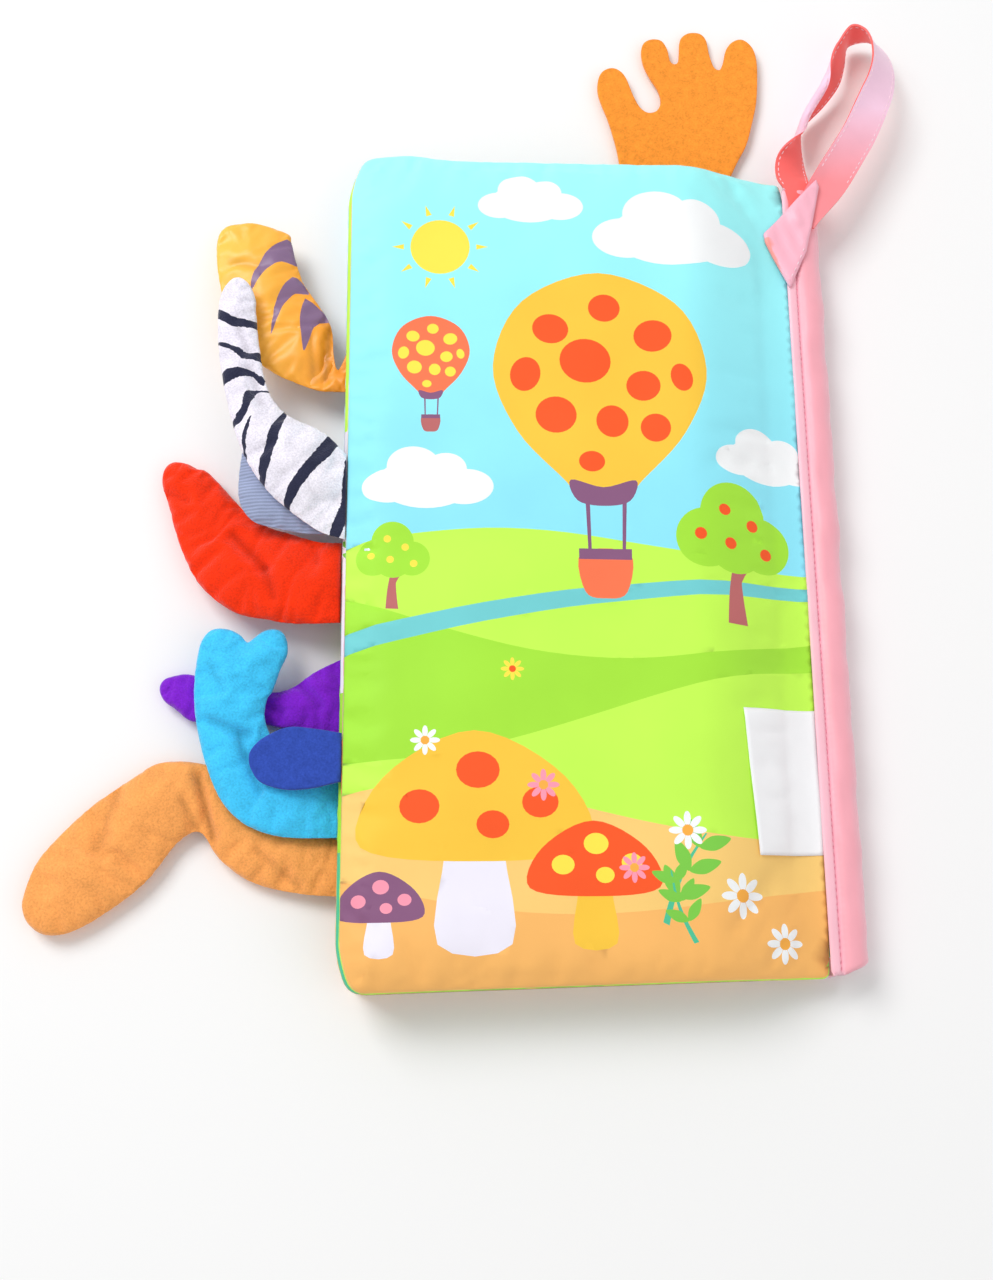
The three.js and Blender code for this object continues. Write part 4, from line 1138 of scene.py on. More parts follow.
# %% Shapes of the tails
TAILS = {
    "zebra_tail": {
        "level": 4, "plump": 6.3, "seed": 3, "folds": 9, "fold_deep": 0.5,
        "tip": [(0.99, 1.68), (0.954, 1.78), (0.89, 1.848), (0.82, 1.84), (0.762, 1.772)],
        "valleys": [(0.862, 1.448, 0.77, 1.214, 1.6, 0.9), (0.742, 1.056, 0.642, 0.752, 1.8, 0.8),
                    (0.342, 0.205, 0.203, -0.033, 1.8, 0.4)],
        "ribs": [(0, -0.326, 0, 0.35, 1, 0.25), (0.194, -0.257, 0.172, 0.517, 1.05, 0.65),
                 (0.418, -0.093, 0.391, 0.628, 1.1, 0.9), (0.585, 0.064, 0.515, 0.732, 1.1, 1),
                 (0.744, 0.31, 0.596, 0.88, 1.065, 1), (0.847, 0.586, 0.651, 1.081, 1.015, 0.95),
                 (0.921, 0.883, 0.692, 1.344, 0.965, 0.95),
                 (0.982, 1.223, 0.716, 1.564, 0.93, 0.95), (1.0, 1.53, 0.722, 1.66, 0.91, 0.9)],
    },
    "grey_ribbed_tail": {
        "level": 3, "plump": 3.8, "seed": 5, "folds": 4, "fold_deep": 0.25, "tip": [(0.975, 0.55)],
        "ribs": [(0, -0.314, 0, 0.344, 1, 0.25), (0.177, -0.361, 0.145, 0.586, 1.025, 0.8),
                 (0.424, -0.342, 0.33, 0.746, 1.03, 0.95), (0.673, -0.291, 0.494, 0.854, 1.03, 1),
                 (0.863, -0.218, 0.637, 0.94, 1.03, 1), (0.988, -0.029, 0.76, 1.016, 1.03, 0.9),
                 (1.006, 0.226, 0.903, 0.742, 1.03, 0.7)],
    },
    "red_tail": {
        "level": 3, "plump": 6.6, "seed": 8, "folds": 12, "fold_deep": 0.7,
        "tip": [(1.03, 0.6), (1.035, 0.675), (1.015, 0.722), (0.98, 0.748), (0.93, 0.748),
                (0.885, 0.735)],
        "valleys": [(0.609, 0.29, 0.426, 0.086, 2.2, 1.1), (0.426, 0.086, 0.373, -0.081, 2.0, 0.8),
                    (0.161, 0.212, 0.137, 0.11, 1.8, 0.7), (0.998, 0.558, 0.882, 0.501, 1.5, 0.6)],
        "ribs": [(0, -0.229, 0, 0.221, 1, 0.25), (0.125, -0.228, 0.135, 0.235, 0.9, 0.55),
                 (0.275, -0.22, 0.288, 0.295, 0.75, 0.85), (0.428, -0.188, 0.422, 0.346, 0.63, 1),
                 (0.56, -0.156, 0.525, 0.411, 0.56, 1), (0.693, -0.075, 0.618, 0.512, 0.49, 1),
                 (0.82, 0.061, 0.707, 0.613, 0.404, 1), (0.924, 0.282, 0.789, 0.695, 0.347, 0.95),
                 (0.99, 0.488, 0.84, 0.71, 0.303, 0.9)],
    },
    "tiger_tail": {
        "level": 2, "plump": 5.2, "seed": 2, "folds": 8, "fold_deep": 0.8,
        "tip": [(0.93, 1.15), (0.82, 1.178), (0.7, 1.18)],
        "valleys": [(0.14, 0.377, 0.167, -0.065, 1.6, 1.3), (0.282, 0.249, 0.246, -0.081, 1.6, 0.8),
                    (0.881, 0.854, 0.66, 0.791, 2.0, 0.6)],
        "ribs": [(0, -0.16, 0, 0.17, 1, 0.25), (0.06, -0.16, 0.07, 0.01, 1, 0.35),
                 (0.12, -0.158, 0.105, 0.1, 1, 0.5), (0.222, -0.147, 0.135, 0.343, 1, 0.7),
                 (0.462, -0.055, 0.237, 0.527, 1, 0.9), (0.661, 0.079, 0.335, 0.674, 0.985, 1),
                 (0.813, 0.288, 0.391, 0.832, 0.955, 1), (0.925, 0.569, 0.416, 0.924, 0.935, 1),
                 (0.981, 0.856, 0.441, 1.026, 0.915, 0.95), (0.983, 1.06, 0.473, 1.1, 0.895, 0.8)],
    },
    "light_blue_tail": {
        "level": 2, "plump": 6.0, "seed": 12, "folds": 9, "fold_deep": 0.5,
        "tip": [(0.95, 1.08), (0.9, 1.15), (0.83, 1.17), (0.75, 1.155), (0.69, 1.12),
                (0.645, 1.075), (0.6, 1.105), (0.54, 1.15), (0.46, 1.165), (0.395, 1.12)],
        "valleys": [(0.681, 0.426, 0.526, 0.062, 2.0, 1.0), (0.868, 0.527, 0.615, 0.426, 2.0, 0.8),
                    (0.897, 0.934, 0.79, 0.73, 1.8, 0.5)],
        "ribs": [(0, -0.246, 0, 0.254, 1, 0.25), (0.234, -0.245, 0.181, 0.302, 0.995, 0.7),
                 (0.43, -0.224, 0.307, 0.323, 0.975, 0.95), (0.627, -0.145, 0.401, 0.371, 0.955, 1),
                 (0.782, 0.007, 0.469, 0.439, 0.935, 1), (0.876, 0.207, 0.513, 0.555, 0.915, 1),
                 (0.928, 0.374, 0.503, 0.678, 0.915, 1), (0.969, 0.576, 0.465, 0.746, 0.915, 1),
                 (0.985, 0.781, 0.423, 0.884, 0.915, 0.95), (0.972, 0.967, 0.378, 1, 0.915, 0.9)],
    },
    "purple_tail": {
        "level": 1, "plump": 4.8, "seed": 7, "folds": 7, "fold_deep": 0.4, "tip": [(1.0, 0.05)],
        "valleys": [(0.253, 0.087, 0.129, -0.054, 1.6, 0.8),
                    (0.458, -0.025, 0.331, -0.093, 1.5, 0.6)],
        "ribs": [(0, -0.217, 0, 0.218, 1, 0.25), (0.16, -0.196, 0.151, 0.143, 0.82, 0.7),
                 (0.327, -0.169, 0.305, 0.045, 0.65, 0.95), (0.521, -0.133, 0.499, 0.037, 0.565, 1),
                 (0.687, -0.13, 0.683, 0.083, 0.547, 1), (0.82, -0.125, 0.835, 0.135, 0.513, 1),
                 (0.91, -0.06, 0.935, 0.125, 0.513, 0.95), (0.972, -0.012, 0.985, 0.1, 0.513, 0.8)],
    },
    "tan_tail": {
        "level": 1, "plump": 6.8, "seed": 9, "folds": 12, "fold_deep": 0.7, "tip": [(0.988, -0.13)],
        "valleys": [(0.462, 0.301, 0.41, 0.105, 1.6, 1.6), (0.503, 0.22, 0.455, 0.124, 1.6, 0.9),
                    (0.715, 0.253, 0.767, 0.062, 2.2, 0.6), (0.263, 0.06, 0.133, -0.051, 1.8, 0.7)],
        "ribs": [(0, -0.087, 0, 0.09, 1, 0.25), (0.093, -0.079, 0.093, 0.125, 0.8, 0.5),
                 (0.196, -0.062, 0.17, 0.16, 0.65, 0.8), (0.292, -0.03, 0.24, 0.185, 0.62, 0.85),
                 (0.384, 0.04, 0.31, 0.235, 0.62, 0.85), (0.45, 0.125, 0.385, 0.32, 0.63, 0.85),
                 (0.52, 0.09, 0.48, 0.352, 0.66, 0.9), (0.609, -0.028, 0.59, 0.349, 0.684, 1),
                 (0.7, -0.107, 0.674, 0.297, 0.684, 1), (0.775, -0.159, 0.782, 0.219, 0.684, 1),
                 (0.845, -0.193, 0.872, 0.132, 0.684, 0.95),
                 (0.914, -0.199, 0.954, 0.03, 0.684, 0.9), (0.965, -0.17, 0.99, -0.08, 0.684, 0.8)],
    },
    "blue_felt_tuft": {
        "level": 4, "plump": 1.6, "felt": True, "tip": [(0.99, 0.01)],
        "ribs": [(0, -0.254, 0, 0.273, 1, 1), (0.316, -0.322, 0.267, 0.323, 0.952, 1),
                 (0.604, -0.327, 0.569, 0.352, 0.908, 1), (0.852, -0.246, 0.825, 0.25, 0.863, 1),
                 (0.955, -0.113, 0.96, 0.123, 0.84, 1)],
    },
}
# Cross stripes of the zebra tail: places along the middle of each stripe, with its width there.
ZEBRA_STRIPES = [
    [(1.05, 1.57, 0.06), (0.888, 1.46, 0.068), (0.813, 1.44, 0.065), (0.748, 1.431, 0.06),
     (0.62, 1.45, 0.085)],
    [(1.04, 1.3, 0.017), (0.871, 1.227, 0.043), (0.777, 1.167, 0.068), (0.703, 1.153, 0.077),
     (0.58, 1.154, 0.1)],
    [(1.0, 0.93, 0.12), (0.863, 1.006, 0.085), (0.781, 1.016, 0.068), (0.707, 1.007, 0.037),
     (0.65, 0.957, 0.051), (0.631, 0.917, 0.01)],
    [(0.56, 0.85, 0.014), (0.666, 0.867, 0.024), (0.728, 0.817, 0.077), (0.752, 0.718, 0.051),
     (0.804, 0.629, 0.06), (0.9, 0.52, 0.04)],
    [(0.708, 0.63, 0.01), (0.737, 0.521, 0.031), (0.752, 0.424, 0.031), (0.739, 0.25, 0.02)],
    [(0.45, 0.7, 0.02), (0.502, 0.562, 0.068), (0.552, 0.405, 0.077), (0.587, 0.25, 0.077),
     (0.62, 0.04, 0.03)],
    [(0.07, 0.5, 0.102), (0.161, 0.349, 0.106), (0.24, 0.251, 0.085), (0.319, 0.145, 0.082),
     (0.397, 0, 0.068), (0.44, -0.15, 0.017)],
    [(-0.01, 0.3, 0.03), (0.0, 0.1, 0.05), (0.0, -0.05, 0.07), (0.02, -0.14, 0.085),
     (0.055, -0.236, 0.085), (0.1, -0.36, 0.068)],
]
# Tapering stripes of the tiger tail, each the ring of its corners.
TIGER_STRIPES = [
    [(0.475, 1.04), (0.4, 1.0), (0.38, 0.838), (0.504, 0.838), (0.6, 0.778), (0.667, 0.679),
     (0.712, 0.61), (0.716, 0.649), (0.696, 0.747), (0.638, 0.866), (0.579, 0.965)],
    [(0.421, 0.73), (0.36, 0.7), (0.3, 0.598), (0.4, 0.597), (0.46, 0.525), (0.51, 0.398),
     (0.553, 0.27), (0.559, 0.278), (0.55, 0.398), (0.531, 0.534), (0.49, 0.641)],
    [(0.33, 0.56), (0.13, 0.4), (0.219, 0.362), (0.27, 0.285), (0.319, 0.131), (0.338, 0.207),
     (0.359, 0.361), (0.353, 0.458)],
]
TAIL_LOOSER, TAIL_PRESSURE, TAIL_CAP = 0.05, 3.0, 1.2
TAIL_RINGS = (0.12, 0.32, 0.6, 1.0, 1.5, 2.1, 2.8)
TAIL_STEP = 0.95
# A tail's seam has puckers of one kind, with this spacing and greatest depth. They and the folds
# take at most a share of its thickness.
TAIL_PUCKERS = (5.0, 0.45)
DENT_MOST = 0.4
# The simulation doesn't move a tail this near to its seam and its root.
TAIL_HELD_SEAM, TAIL_HELD_ROOT = 0.3, 1.2
# Painted shade in a fold: the colour darkens there, over a share of the fold's
# width, and never below a share of itself.
PAINTED_FOLD_SHADE, FOLD_NARROW, FOLD_DARKEST = 0.3, 0.55, 0.3
RIM_THICK = 0.35
# Felt is rounded off over this distance, to a share of its thickness at the cut edge.
FELT_ROUND = 0.6
TUFT_EDGE, ANTLER_EDGE = 0.55, 0.6
ZEBRA_STEPS, ZEBRA_RAG = 8, 0.13


def seam_level(level):
    """Height of the sewn fore edge of a leaf over the table, in millimetres."""
    return (level + 0.5) * (PITCH - EDGE_DROOP) - SEAM_GAP / 2


def band(rows, fit, seed):
    """The ring round a stripe that widens and narrows, with an edge that is uneven, as on pile."""
    dice = np.random.RandomState(seed)
    path = smooth_path(rows, ZEBRA_STEPS)
    at = fit(path[:, :2])
    width = path[:, 2] * np.linalg.norm(fit(np.array([[1.0, 0.0]])) - fit(np.array([[0.0, 0.0]])))
    along = np.gradient(at, axis=0)
    across = np.stack([-along[:, 1], along[:, 0]], axis=1) / np.linalg.norm(along, axis=1)[:, None]
    half = across * np.maximum(width, 0.2)[:, None] / 2
    ring = np.concatenate([at + half, (at - half)[::-1]])
    return ring + dice.uniform(-ZEBRA_RAG, ZEBRA_RAG, ring.shape)


def creases(points, centre, half_width, count, deep, seed):
    """Short valleys that start at an edge of a tail and run in towards its middle."""
    dice = np.random.RandomState(seed)
    total = np.zeros(len(points))
    along = np.gradient(centre, axis=0)
    along /= np.linalg.norm(along, axis=1)[:, None]
    for _ in range(count):
        k = dice.randint(len(centre) // 10, len(centre) - len(centre) // 8)
        side = dice.choice([-1, 1])
        across = np.array([-along[k, 1], along[k, 0]]) * side
        start = centre[k] + across * half_width[k]
        lean = along[k] * dice.uniform(-0.5, 0.5)
        run = lean - across
        run /= np.linalg.norm(run)
        length, wide = half_width[k] * dice.uniform(0.7, 1.5), dice.uniform(0.7, 1.5)
        away = points - start
        down = away @ run
        off = away @ np.array([-run[1], run[0]])
        fade = np.clip(1 - down / length, 0, 1) * (down > -1)
        widening = wide * (0.6 + 0.5 * down / length)
        total += deep * dice.uniform(0.4, 1) * fade * np.exp(-(off / widening) ** 2)
    return total


def felt_half(thick, from_edge, edge_share):
    """Half the thickness of felt at some distances from its cut edge."""
    return thick / 2 * (edge_share + (1 - edge_share) * dome(from_edge / FELT_ROUND))


def valley(points, ends, wide, deep):
    """A soft valley along a straight line between two places."""
    a, b = ends
    t = np.clip((points - a) @ (b - a) / ((b - a) @ (b - a)), 0, 1)
    away = np.linalg.norm(points - a - t[:, None] * (b - a), axis=1)
    return deep * np.exp(-(away / wide) ** 2)


def tail_piece(name, colour, stripes=(), stripe_ink=None, tip_colour=None):
    """Builds one stuffed tail or felt tuft from its ribs and returns its object."""
    tail = TAILS[name]
    felt = tail.get("felt", False)
    ribs = smooth_path(tail["ribs"])
    table = np.array(tail["ribs"], float)
    ring = smooth_path([*table[:, 0:2], *tail["tip"], *table[::-1, 2:4]])
    low, high = box_mm(name)
    least, most = ring.min(axis=0), ring.max(axis=0)

    def fit(shares):
        x = high[0] - (shares[:, 0] - least[0]) / (most[0] - least[0]) * (high[0] - low[0])
        y = low[1] + (shares[:, 1] - least[1]) / (most[1] - least[1]) * (high[1] - low[1])
        return np.stack([x, y], axis=1)

    outline = fit(ring)[::-1]
    open_side = open_sides(outline, last=True)
    edge_a, edge_b = fit(ribs[:, 0:2]), fit(ribs[:, 2:4])
    centre, half_width = (edge_a + edge_b) / 2, np.linalg.norm(edge_a - edge_b, axis=1) / 2
    points = field_points(outline, open_side, TAIL_RINGS, TAIL_STEP)
    valleys = [(fit(np.reshape(row[:4], (2, 2))), *row[4:]) for row in tail.get("valleys", ())]

    def surfaces(flat):
        """The upper and the lower layer of the tail at some places."""
        far, place = seam_distance(flat, outline, open_side)
        gap = np.linalg.norm(flat[:, None] - centre[None], axis=2)
        weight = 1 / (gap ** 2 + 1) ** 3
        weight /= weight.sum(axis=1)[:, None]
        middle = seam_level(tail["level"]) * (weight @ ribs[:, 4])
        if felt:
            half = felt_half(tail["plump"], far, TUFT_EDGE)
            return [np.column_stack([flat, middle + half]), np.column_stack([flat, middle - half])]
        swell = tail["plump"] * (weight @ ribs[:, 5]) * dome(far / (weight @ half_width))
        sides = []
        for side, sign in ((0, 1), (1, -1)):
            dent = puckers(place, far, tail["seed"] + side, ring_length(outline), *TAIL_PUCKERS)
            dent += creases(flat, centre, half_width, tail["folds"], tail["fold_deep"],
                            tail["seed"] + 20 * side)
            for ends, wide, deep in valleys:
                dent += valley(flat, ends, wide, deep)
            half = np.maximum(swell / 2 - np.minimum(dent, swell * DENT_MOST), RIM_THICK / 2)
            sides.append(np.column_stack([flat, np.maximum(middle + sign * half, TAIL_CLEAR)]))
        return sides

    layers = [(stripe(fit), k) for k, stripe in enumerate(stripes)]
    flat, tris, tops = cut_sheet(outline, points, layers)
    upper, lower = surfaces(flat)
    if not felt:
        base, base_tris, _ = cut_sheet(outline, points)
        far, _ = seam_distance(base, outline, open_side)
        held = (far < TAIL_HELD_SEAM) | (base[:, 0] > high[0] - TAIL_HELD_ROOT)
        moves = swell_by_cloth(surfaces(base), base_tris, held, TAIL_LOOSER, TAIL_PRESSURE,
                               TAIL_CAP)
        carried = spread(moves, base, flat)
        upper, lower = upper + carried[0], lower + carried[1]
        lower[:, 2] = np.maximum(lower[:, 2], TAIL_CLEAR)
    near, further = np.array(colour_of(colour)), np.array(colour_of(tip_colour or colour))

    def ground(places):
        """The colours of the bare cloth, from the root to the tip, with painted shade in the folds.
        """
        t = np.clip((high[0] - places[:, 0]) / (high[0] - low[0]), 0, 1)[:, None]
        shade = np.ones(len(places))
        # Painted shade darkens the colour along each fold.
        for ends, wide, deep in valleys:
            shade -= PAINTED_FOLD_SHADE * valley(places[:, :2], ends, FOLD_NARROW * wide, deep)
        return (near + (further - near) * t) * np.maximum(shade, FOLD_DARKEST)[:, None]

    inks = [colour_of(stripe_ink) for _ in layers]
    return closed_piece(f"{name}_cloth", flat, tris, tops, upper, lower, ground, inks)


def bend_root(piece):
    """Bakes the place of a piece into its mesh."""
    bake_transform(piece)


plush, striped_plush = (finish_of(name, 0.9, 0.5, pile, 0.4, 0.07, 6, fleck=0.13, gloss=0.1)
                        for name, pile in (("short_plush", 0.55), ("striped_plush", 0.5)))
tail_satin = finish_of("tail_satin", 0.38, 0.1, 0.3, 0.012, 0.03, 9, weave=0.2, gloss=0.5)
felt_wool = finish_of("felt_wool", 0.95, 0.2, 0.6, 0.15, 0.09, 2.2, fleck=0.12, gloss=0.05)
ribbed_cloth = finish_of("ribbed_cloth", 0.8, 0.2, 0.4, 0.12, 0.04, 8, fleck=0.04, ribs=0.95)
zebra_layers = [lambda fit, k=k, rows=rows: band(rows, fit, k)
                for k, rows in enumerate(ZEBRA_STRIPES)]
tiger_layers = [lambda fit, rows=rows: fit(smooth_path([*rows, rows[0]], 4)[:-1])
                for rows in TIGER_STRIPES]
# The finish, the slot and the colour, then the stripes, their ink and the colour at the tip.
TAIL_LOOKS = {
    "zebra_tail": (striped_plush, "zebra_plush", "F6F2FB", zebra_layers, "2E3048", "F2ECFA"),
    "grey_ribbed_tail": (ribbed_cloth, "ribbed_cloth", "A3AECF"),
    "red_tail": (plush, "red_plush", "FB3404"),
    "tiger_tail": (tail_satin, "tiger_satin", "FF9A1E", tiger_layers, "84658A", "FFC646"),
    "light_blue_tail": (plush, "light_blue_plush", "44CBFF"),
    "purple_tail": (plush, "purple_plush", "8421D2"),
    "tan_tail": (plush, "tan_plush", "FFAA5C"),
    "blue_felt_tuft": (felt_wool, "blue_felt", "3550B0"),
}
for name, (finish, slot, *looks) in TAIL_LOOKS.items():
    made = tail_piece(name, *looks)
    fit_out(made, finish, name)
    low, high = box_mm(name)
    bend_root(made)

# %% [markdown]
# ## Inside the leaves
#
# The wadding fills the pocket between the two cloths, and the crackling film lies on top of it.
# Both take their height from the same swell as the cloth, less its thickness, so that they stay
# inside it. The film is crumpled: many short straight folds at random angles, summed.

# %% Wadding and crackling film
FILM_ROOM = 0.35
FILM_THICK = 0.06
INSIDE_STEP = 3.0
INSIDE_CORNER = 6.0
WADDING_RINGS, FILM_RINGS = (0.6, 1.6, 3.0), (1.2,)
# How many folds the film has, how far apart they are, and the level that cuts off their sum.
FILM_FOLDS, FILM_RUN, FILM_LEVEL = 60, (5, 26), 0.6


def crumple(points, seed):
    """The crossing straight folds of film that has been squeezed, from minus one to one."""
    dice = np.random.RandomState(seed)
    total = np.zeros(len(points))
    for _ in range(FILM_FOLDS):
        turn, wave, phase = dice.uniform(0, math.pi), dice.uniform(*FILM_RUN), dice.uniform(0, 1)
        along = (points[:, 0] * math.cos(turn) + points[:, 1] * math.sin(turn)) / wave + phase
        total += np.abs((along % 1) * 2 - 1) - 0.5
    return np.clip(total / math.sqrt(FILM_FOLDS) / FILM_LEVEL, -1, 1)


wadding_look = finish_of("white_wadding", 0.95, 0.5, 0.9, 0.25, 0.03, 4, "F4F2EC", fleck=0.05,
                         gloss=0.05)
film_look = finish_of("crackling_film", 0.18, 0.0, 2.0, 0.02, 0.02, 20, "E4ECF4", gloss=0.6)
for level, leaf in enumerate(LEAVES):
    for part, rings in (("batting", WADDING_RINGS), ("crinkle_film", FILM_RINGS)):
        low, high = box_mm(f"{leaf}_{part}")
        corners = [(high[0], low[1]), (high[0], high[1]), (low[0], high[1]), (low[0], low[1])]
        ring, _ = rounded_ring(corners, [INSIDE_CORNER] * 4, INSIDE_STEP)
        shut = open_sides(ring)
        flat, tris, tops = cut_sheet(ring, field_points(ring, shut, rings, INSIDE_STEP))
        top = leaf_height(flat, level, True, *leaf_outlines[leaf]) - CLOTH_THICK
        under = leaf_height(flat, level, False, *leaf_outlines[leaf]) + CLOTH_THICK
        if part == "batting":
            rim = seam_distance(flat, ring, shut)[0] / WADDING_RINGS[-1]
            half = np.maximum((top - FILM_ROOM - under) / 2 * dome(rim), FILM_THICK)
            middle = (top - FILM_ROOM + under) / 2
            made = closed_piece(f"{leaf}_wadding", flat, tris, tops, middle + half, middle - half)
        else:
            height = top - FILM_ROOM / 2 + crumple(flat, level) * (FILM_ROOM / 2 - FILM_THICK)
            height = np.maximum(height, (top + under) / 2)
            made = closed_piece(f"{leaf}_film", flat, tris, tops, height, height - FILM_THICK)
        finish = wadding_look if part == "batting" else film_look
        fit_out(made, finish, f"{leaf}_{part}", LEAF_BODY.get(leaf, leaf))
print("wadding and film are in", len(LEAVES), "leaves")

# %% [markdown]
# ## Felt antler and bare label
#
# Felt is cut, not sewn, so its edge is a plain wall, only slightly rounded by the scissors.
# The label is a thin strip of white satin under the edge of the binding, left without print.

# %% Felt antler
ANTLER_RING = [
    (0.72, 0), (0.8, 0.13), (0.85, 0.22), (0.91, 0.32), (0.95, 0.44), (0.985, 0.57), (1, 0.72),
    (1, 0.83), (0.975, 0.905), (0.92, 0.95), (0.86, 0.94), (0.815, 0.89), (0.795, 0.82),
    (0.77, 0.77), (0.735, 0.785), (0.71, 0.86), (0.695, 0.95), (0.665, 0.99), (0.62, 1),
    (0.57, 0.99), (0.53, 0.95), (0.52, 0.87), (0.51, 0.815), (0.485, 0.8), (0.46, 0.82),
    (0.445, 0.89), (0.41, 0.94), (0.35, 0.945), (0.3, 0.92), (0.28, 0.87), (0.29, 0.79),
    (0.33, 0.71), (0.375, 0.64), (0.39, 0.57), (0.365, 0.515), (0.31, 0.5), (0.26, 0.53),
    (0.22, 0.6), (0.18, 0.7), (0.14, 0.745), (0.09, 0.76), (0.035, 0.74), (0.005, 0.69), (0, 0.62),
    (0.02, 0.55), (0.06, 0.45), (0.1, 0.31), (0.12, 0.2), (0.13, 0.1), (0.14, 0),
]
FELT_RINGS, FELT_STEP = (0.08, 0.25, 0.6, 1.2), 1.6
# The antler waves along its length, more towards its tips.
ANTLER_WAVE, ANTLER_WAVE_RUN = 0.9, 9.0

low, high = box_mm("felt_antler")
ring = low[:2] + smooth_path(ANTLER_RING, 5) * (high - low)[:2]
open_side = open_sides(ring, last=True)
flat, tris, tops = cut_sheet(ring, field_points(ring, open_side, FELT_RINGS, FELT_STEP))
half = felt_half(high[2] - low[2], seam_distance(flat, ring, open_side)[0], ANTLER_EDGE)
wave = ((flat[:, 1] - low[1]) / (high - low)[1]) ** 2 * np.sin(flat[:, 0] / ANTLER_WAVE_RUN)
middle = (low[2] + high[2]) / 2 + ANTLER_WAVE * wave
antler = closed_piece("antler_felt", flat, tris, tops, middle + half, middle - half,
                      colour_of("FF9B38"))
fit_out(antler, felt_wool, "felt_antler")
bend_root(antler)
print("the antler waves by", ANTLER_WAVE, "mm")

# %% Bare label
LABEL_THICK = 0.18
LABEL_STEPS = (18, 34)
# How far the label's lower end lies to the right, its free edge down, and its end off the hinge.
LABEL_SKEW, LABEL_DROP, LABEL_SHORT = 2.6, 0.8, 0.2
# The free edge lifts off the cover over this distance, in waves.
LABEL_LIFT, LABEL_FREE, LABEL_WAVE = 0.55, 12.0, 7.0
low, high = box_mm("care_label")
rows = []
for v in np.linspace(0, 1, LABEL_STEPS[1]):
    for u in np.linspace(0, 1, LABEL_STEPS[0]):
        left = low[0] + LABEL_SKEW * (1 - v)
        foot = low[1] - LABEL_DROP * (1 - u)
        rows.append((left + (HINGE_X - LABEL_SHORT - left) * u, foot + (high - low)[1] * v))
rows = np.array(rows)
cover = leaf_height(rows, LEAF_COUNT - 1, True, *leaf_outlines["back_cover"])
free = np.clip((high[0] - rows[:, 0]) / LABEL_FREE, 0, 1)
lift = LABEL_THICK + LABEL_LIFT * (0.1 + free * (0.8 + 0.5 * np.sin(rows[:, 1] / LABEL_WAVE)))
grid = np.column_stack([rows, cover + lift]).reshape(*LABEL_STEPS[::-1], 3)
label = grid_piece("label_satin_strip", grid)
thicken(label, LABEL_THICK)
label_look = finish_of("label_satin", 0.45, 0.05, 0.4, 0.006, 0.012, 6, "FBFBFD", weave=0.22,
                       gloss=0.4)
fit_out(label, label_look, "care_label", "back_cover")
print("the label lifts by", round(float(lift.max()), 2), "mm")

# %% [markdown]
# ## The binding
#
# A satin tape wraps the sewn edges of all five leaves. Its section is drawn once, from the flat
# flange on top round the spine to the flange below, and swept along the spine. The stitches pull a
# groove between flange and spine, with small tension wrinkles, and the lower end of the tape is cut
# at a slant.

# %% Binding tape
TAPE_THICK = 0.5
TAPE_STEP = 0.8
TAPE_SLANT = 0.33
FLANGE_WIDTH = 2.3
STITCH_PITCH = 1.9
# The stitches pull a groove at a share of the tape's width, and the rest has soft waves.
GROOVE_AT, GROOVE_WIDE, GROOVE_PULL = 0.26, 0.1, 0.16
WAVE_COUNT, WAVE_RUN, WAVE_RISE, WAVE_FROM, WAVE_FULL = 7, (9, 34), 0.65, 0.25, 0.3
# Both ends of the tape are folded in over a short length.
HEM_DROP, HEM_RUN = 0.9, 1.6
tape_low, tape_high = box_mm("binding_tape")
TAPE_WIDE, TAPE_TALL = (tape_high - tape_low)[0], (tape_high - tape_low)[2]
# The section as shares of the tape's width, and heights over the table in shares of its own height.
TAPE_SECTION = [
    (-0.045, 0.955), (-0.05, 0.99), (0.03, 1.02), (0.165, 1.0), (0.215, 0.935), (0.265, 0.985),
    (0.42, 1.045), (0.6, 1.02), (0.78, 0.94), (0.91, 0.81), (0.98, 0.65), (1.0, 0.47), (0.97, 0.28),
    (0.89, 0.13), (0.75, 0.045), (0.55, 0.01), (0.3, 0.012), (0.215, 0.045), (0.17, 0.012),
    (0.04, 0.008), (0.0, 0.02),
]
TAPE_LINE = smooth_path(TAPE_SECTION, 5)
# The first points of the line are its upper half.
TAPE_TOP = 60


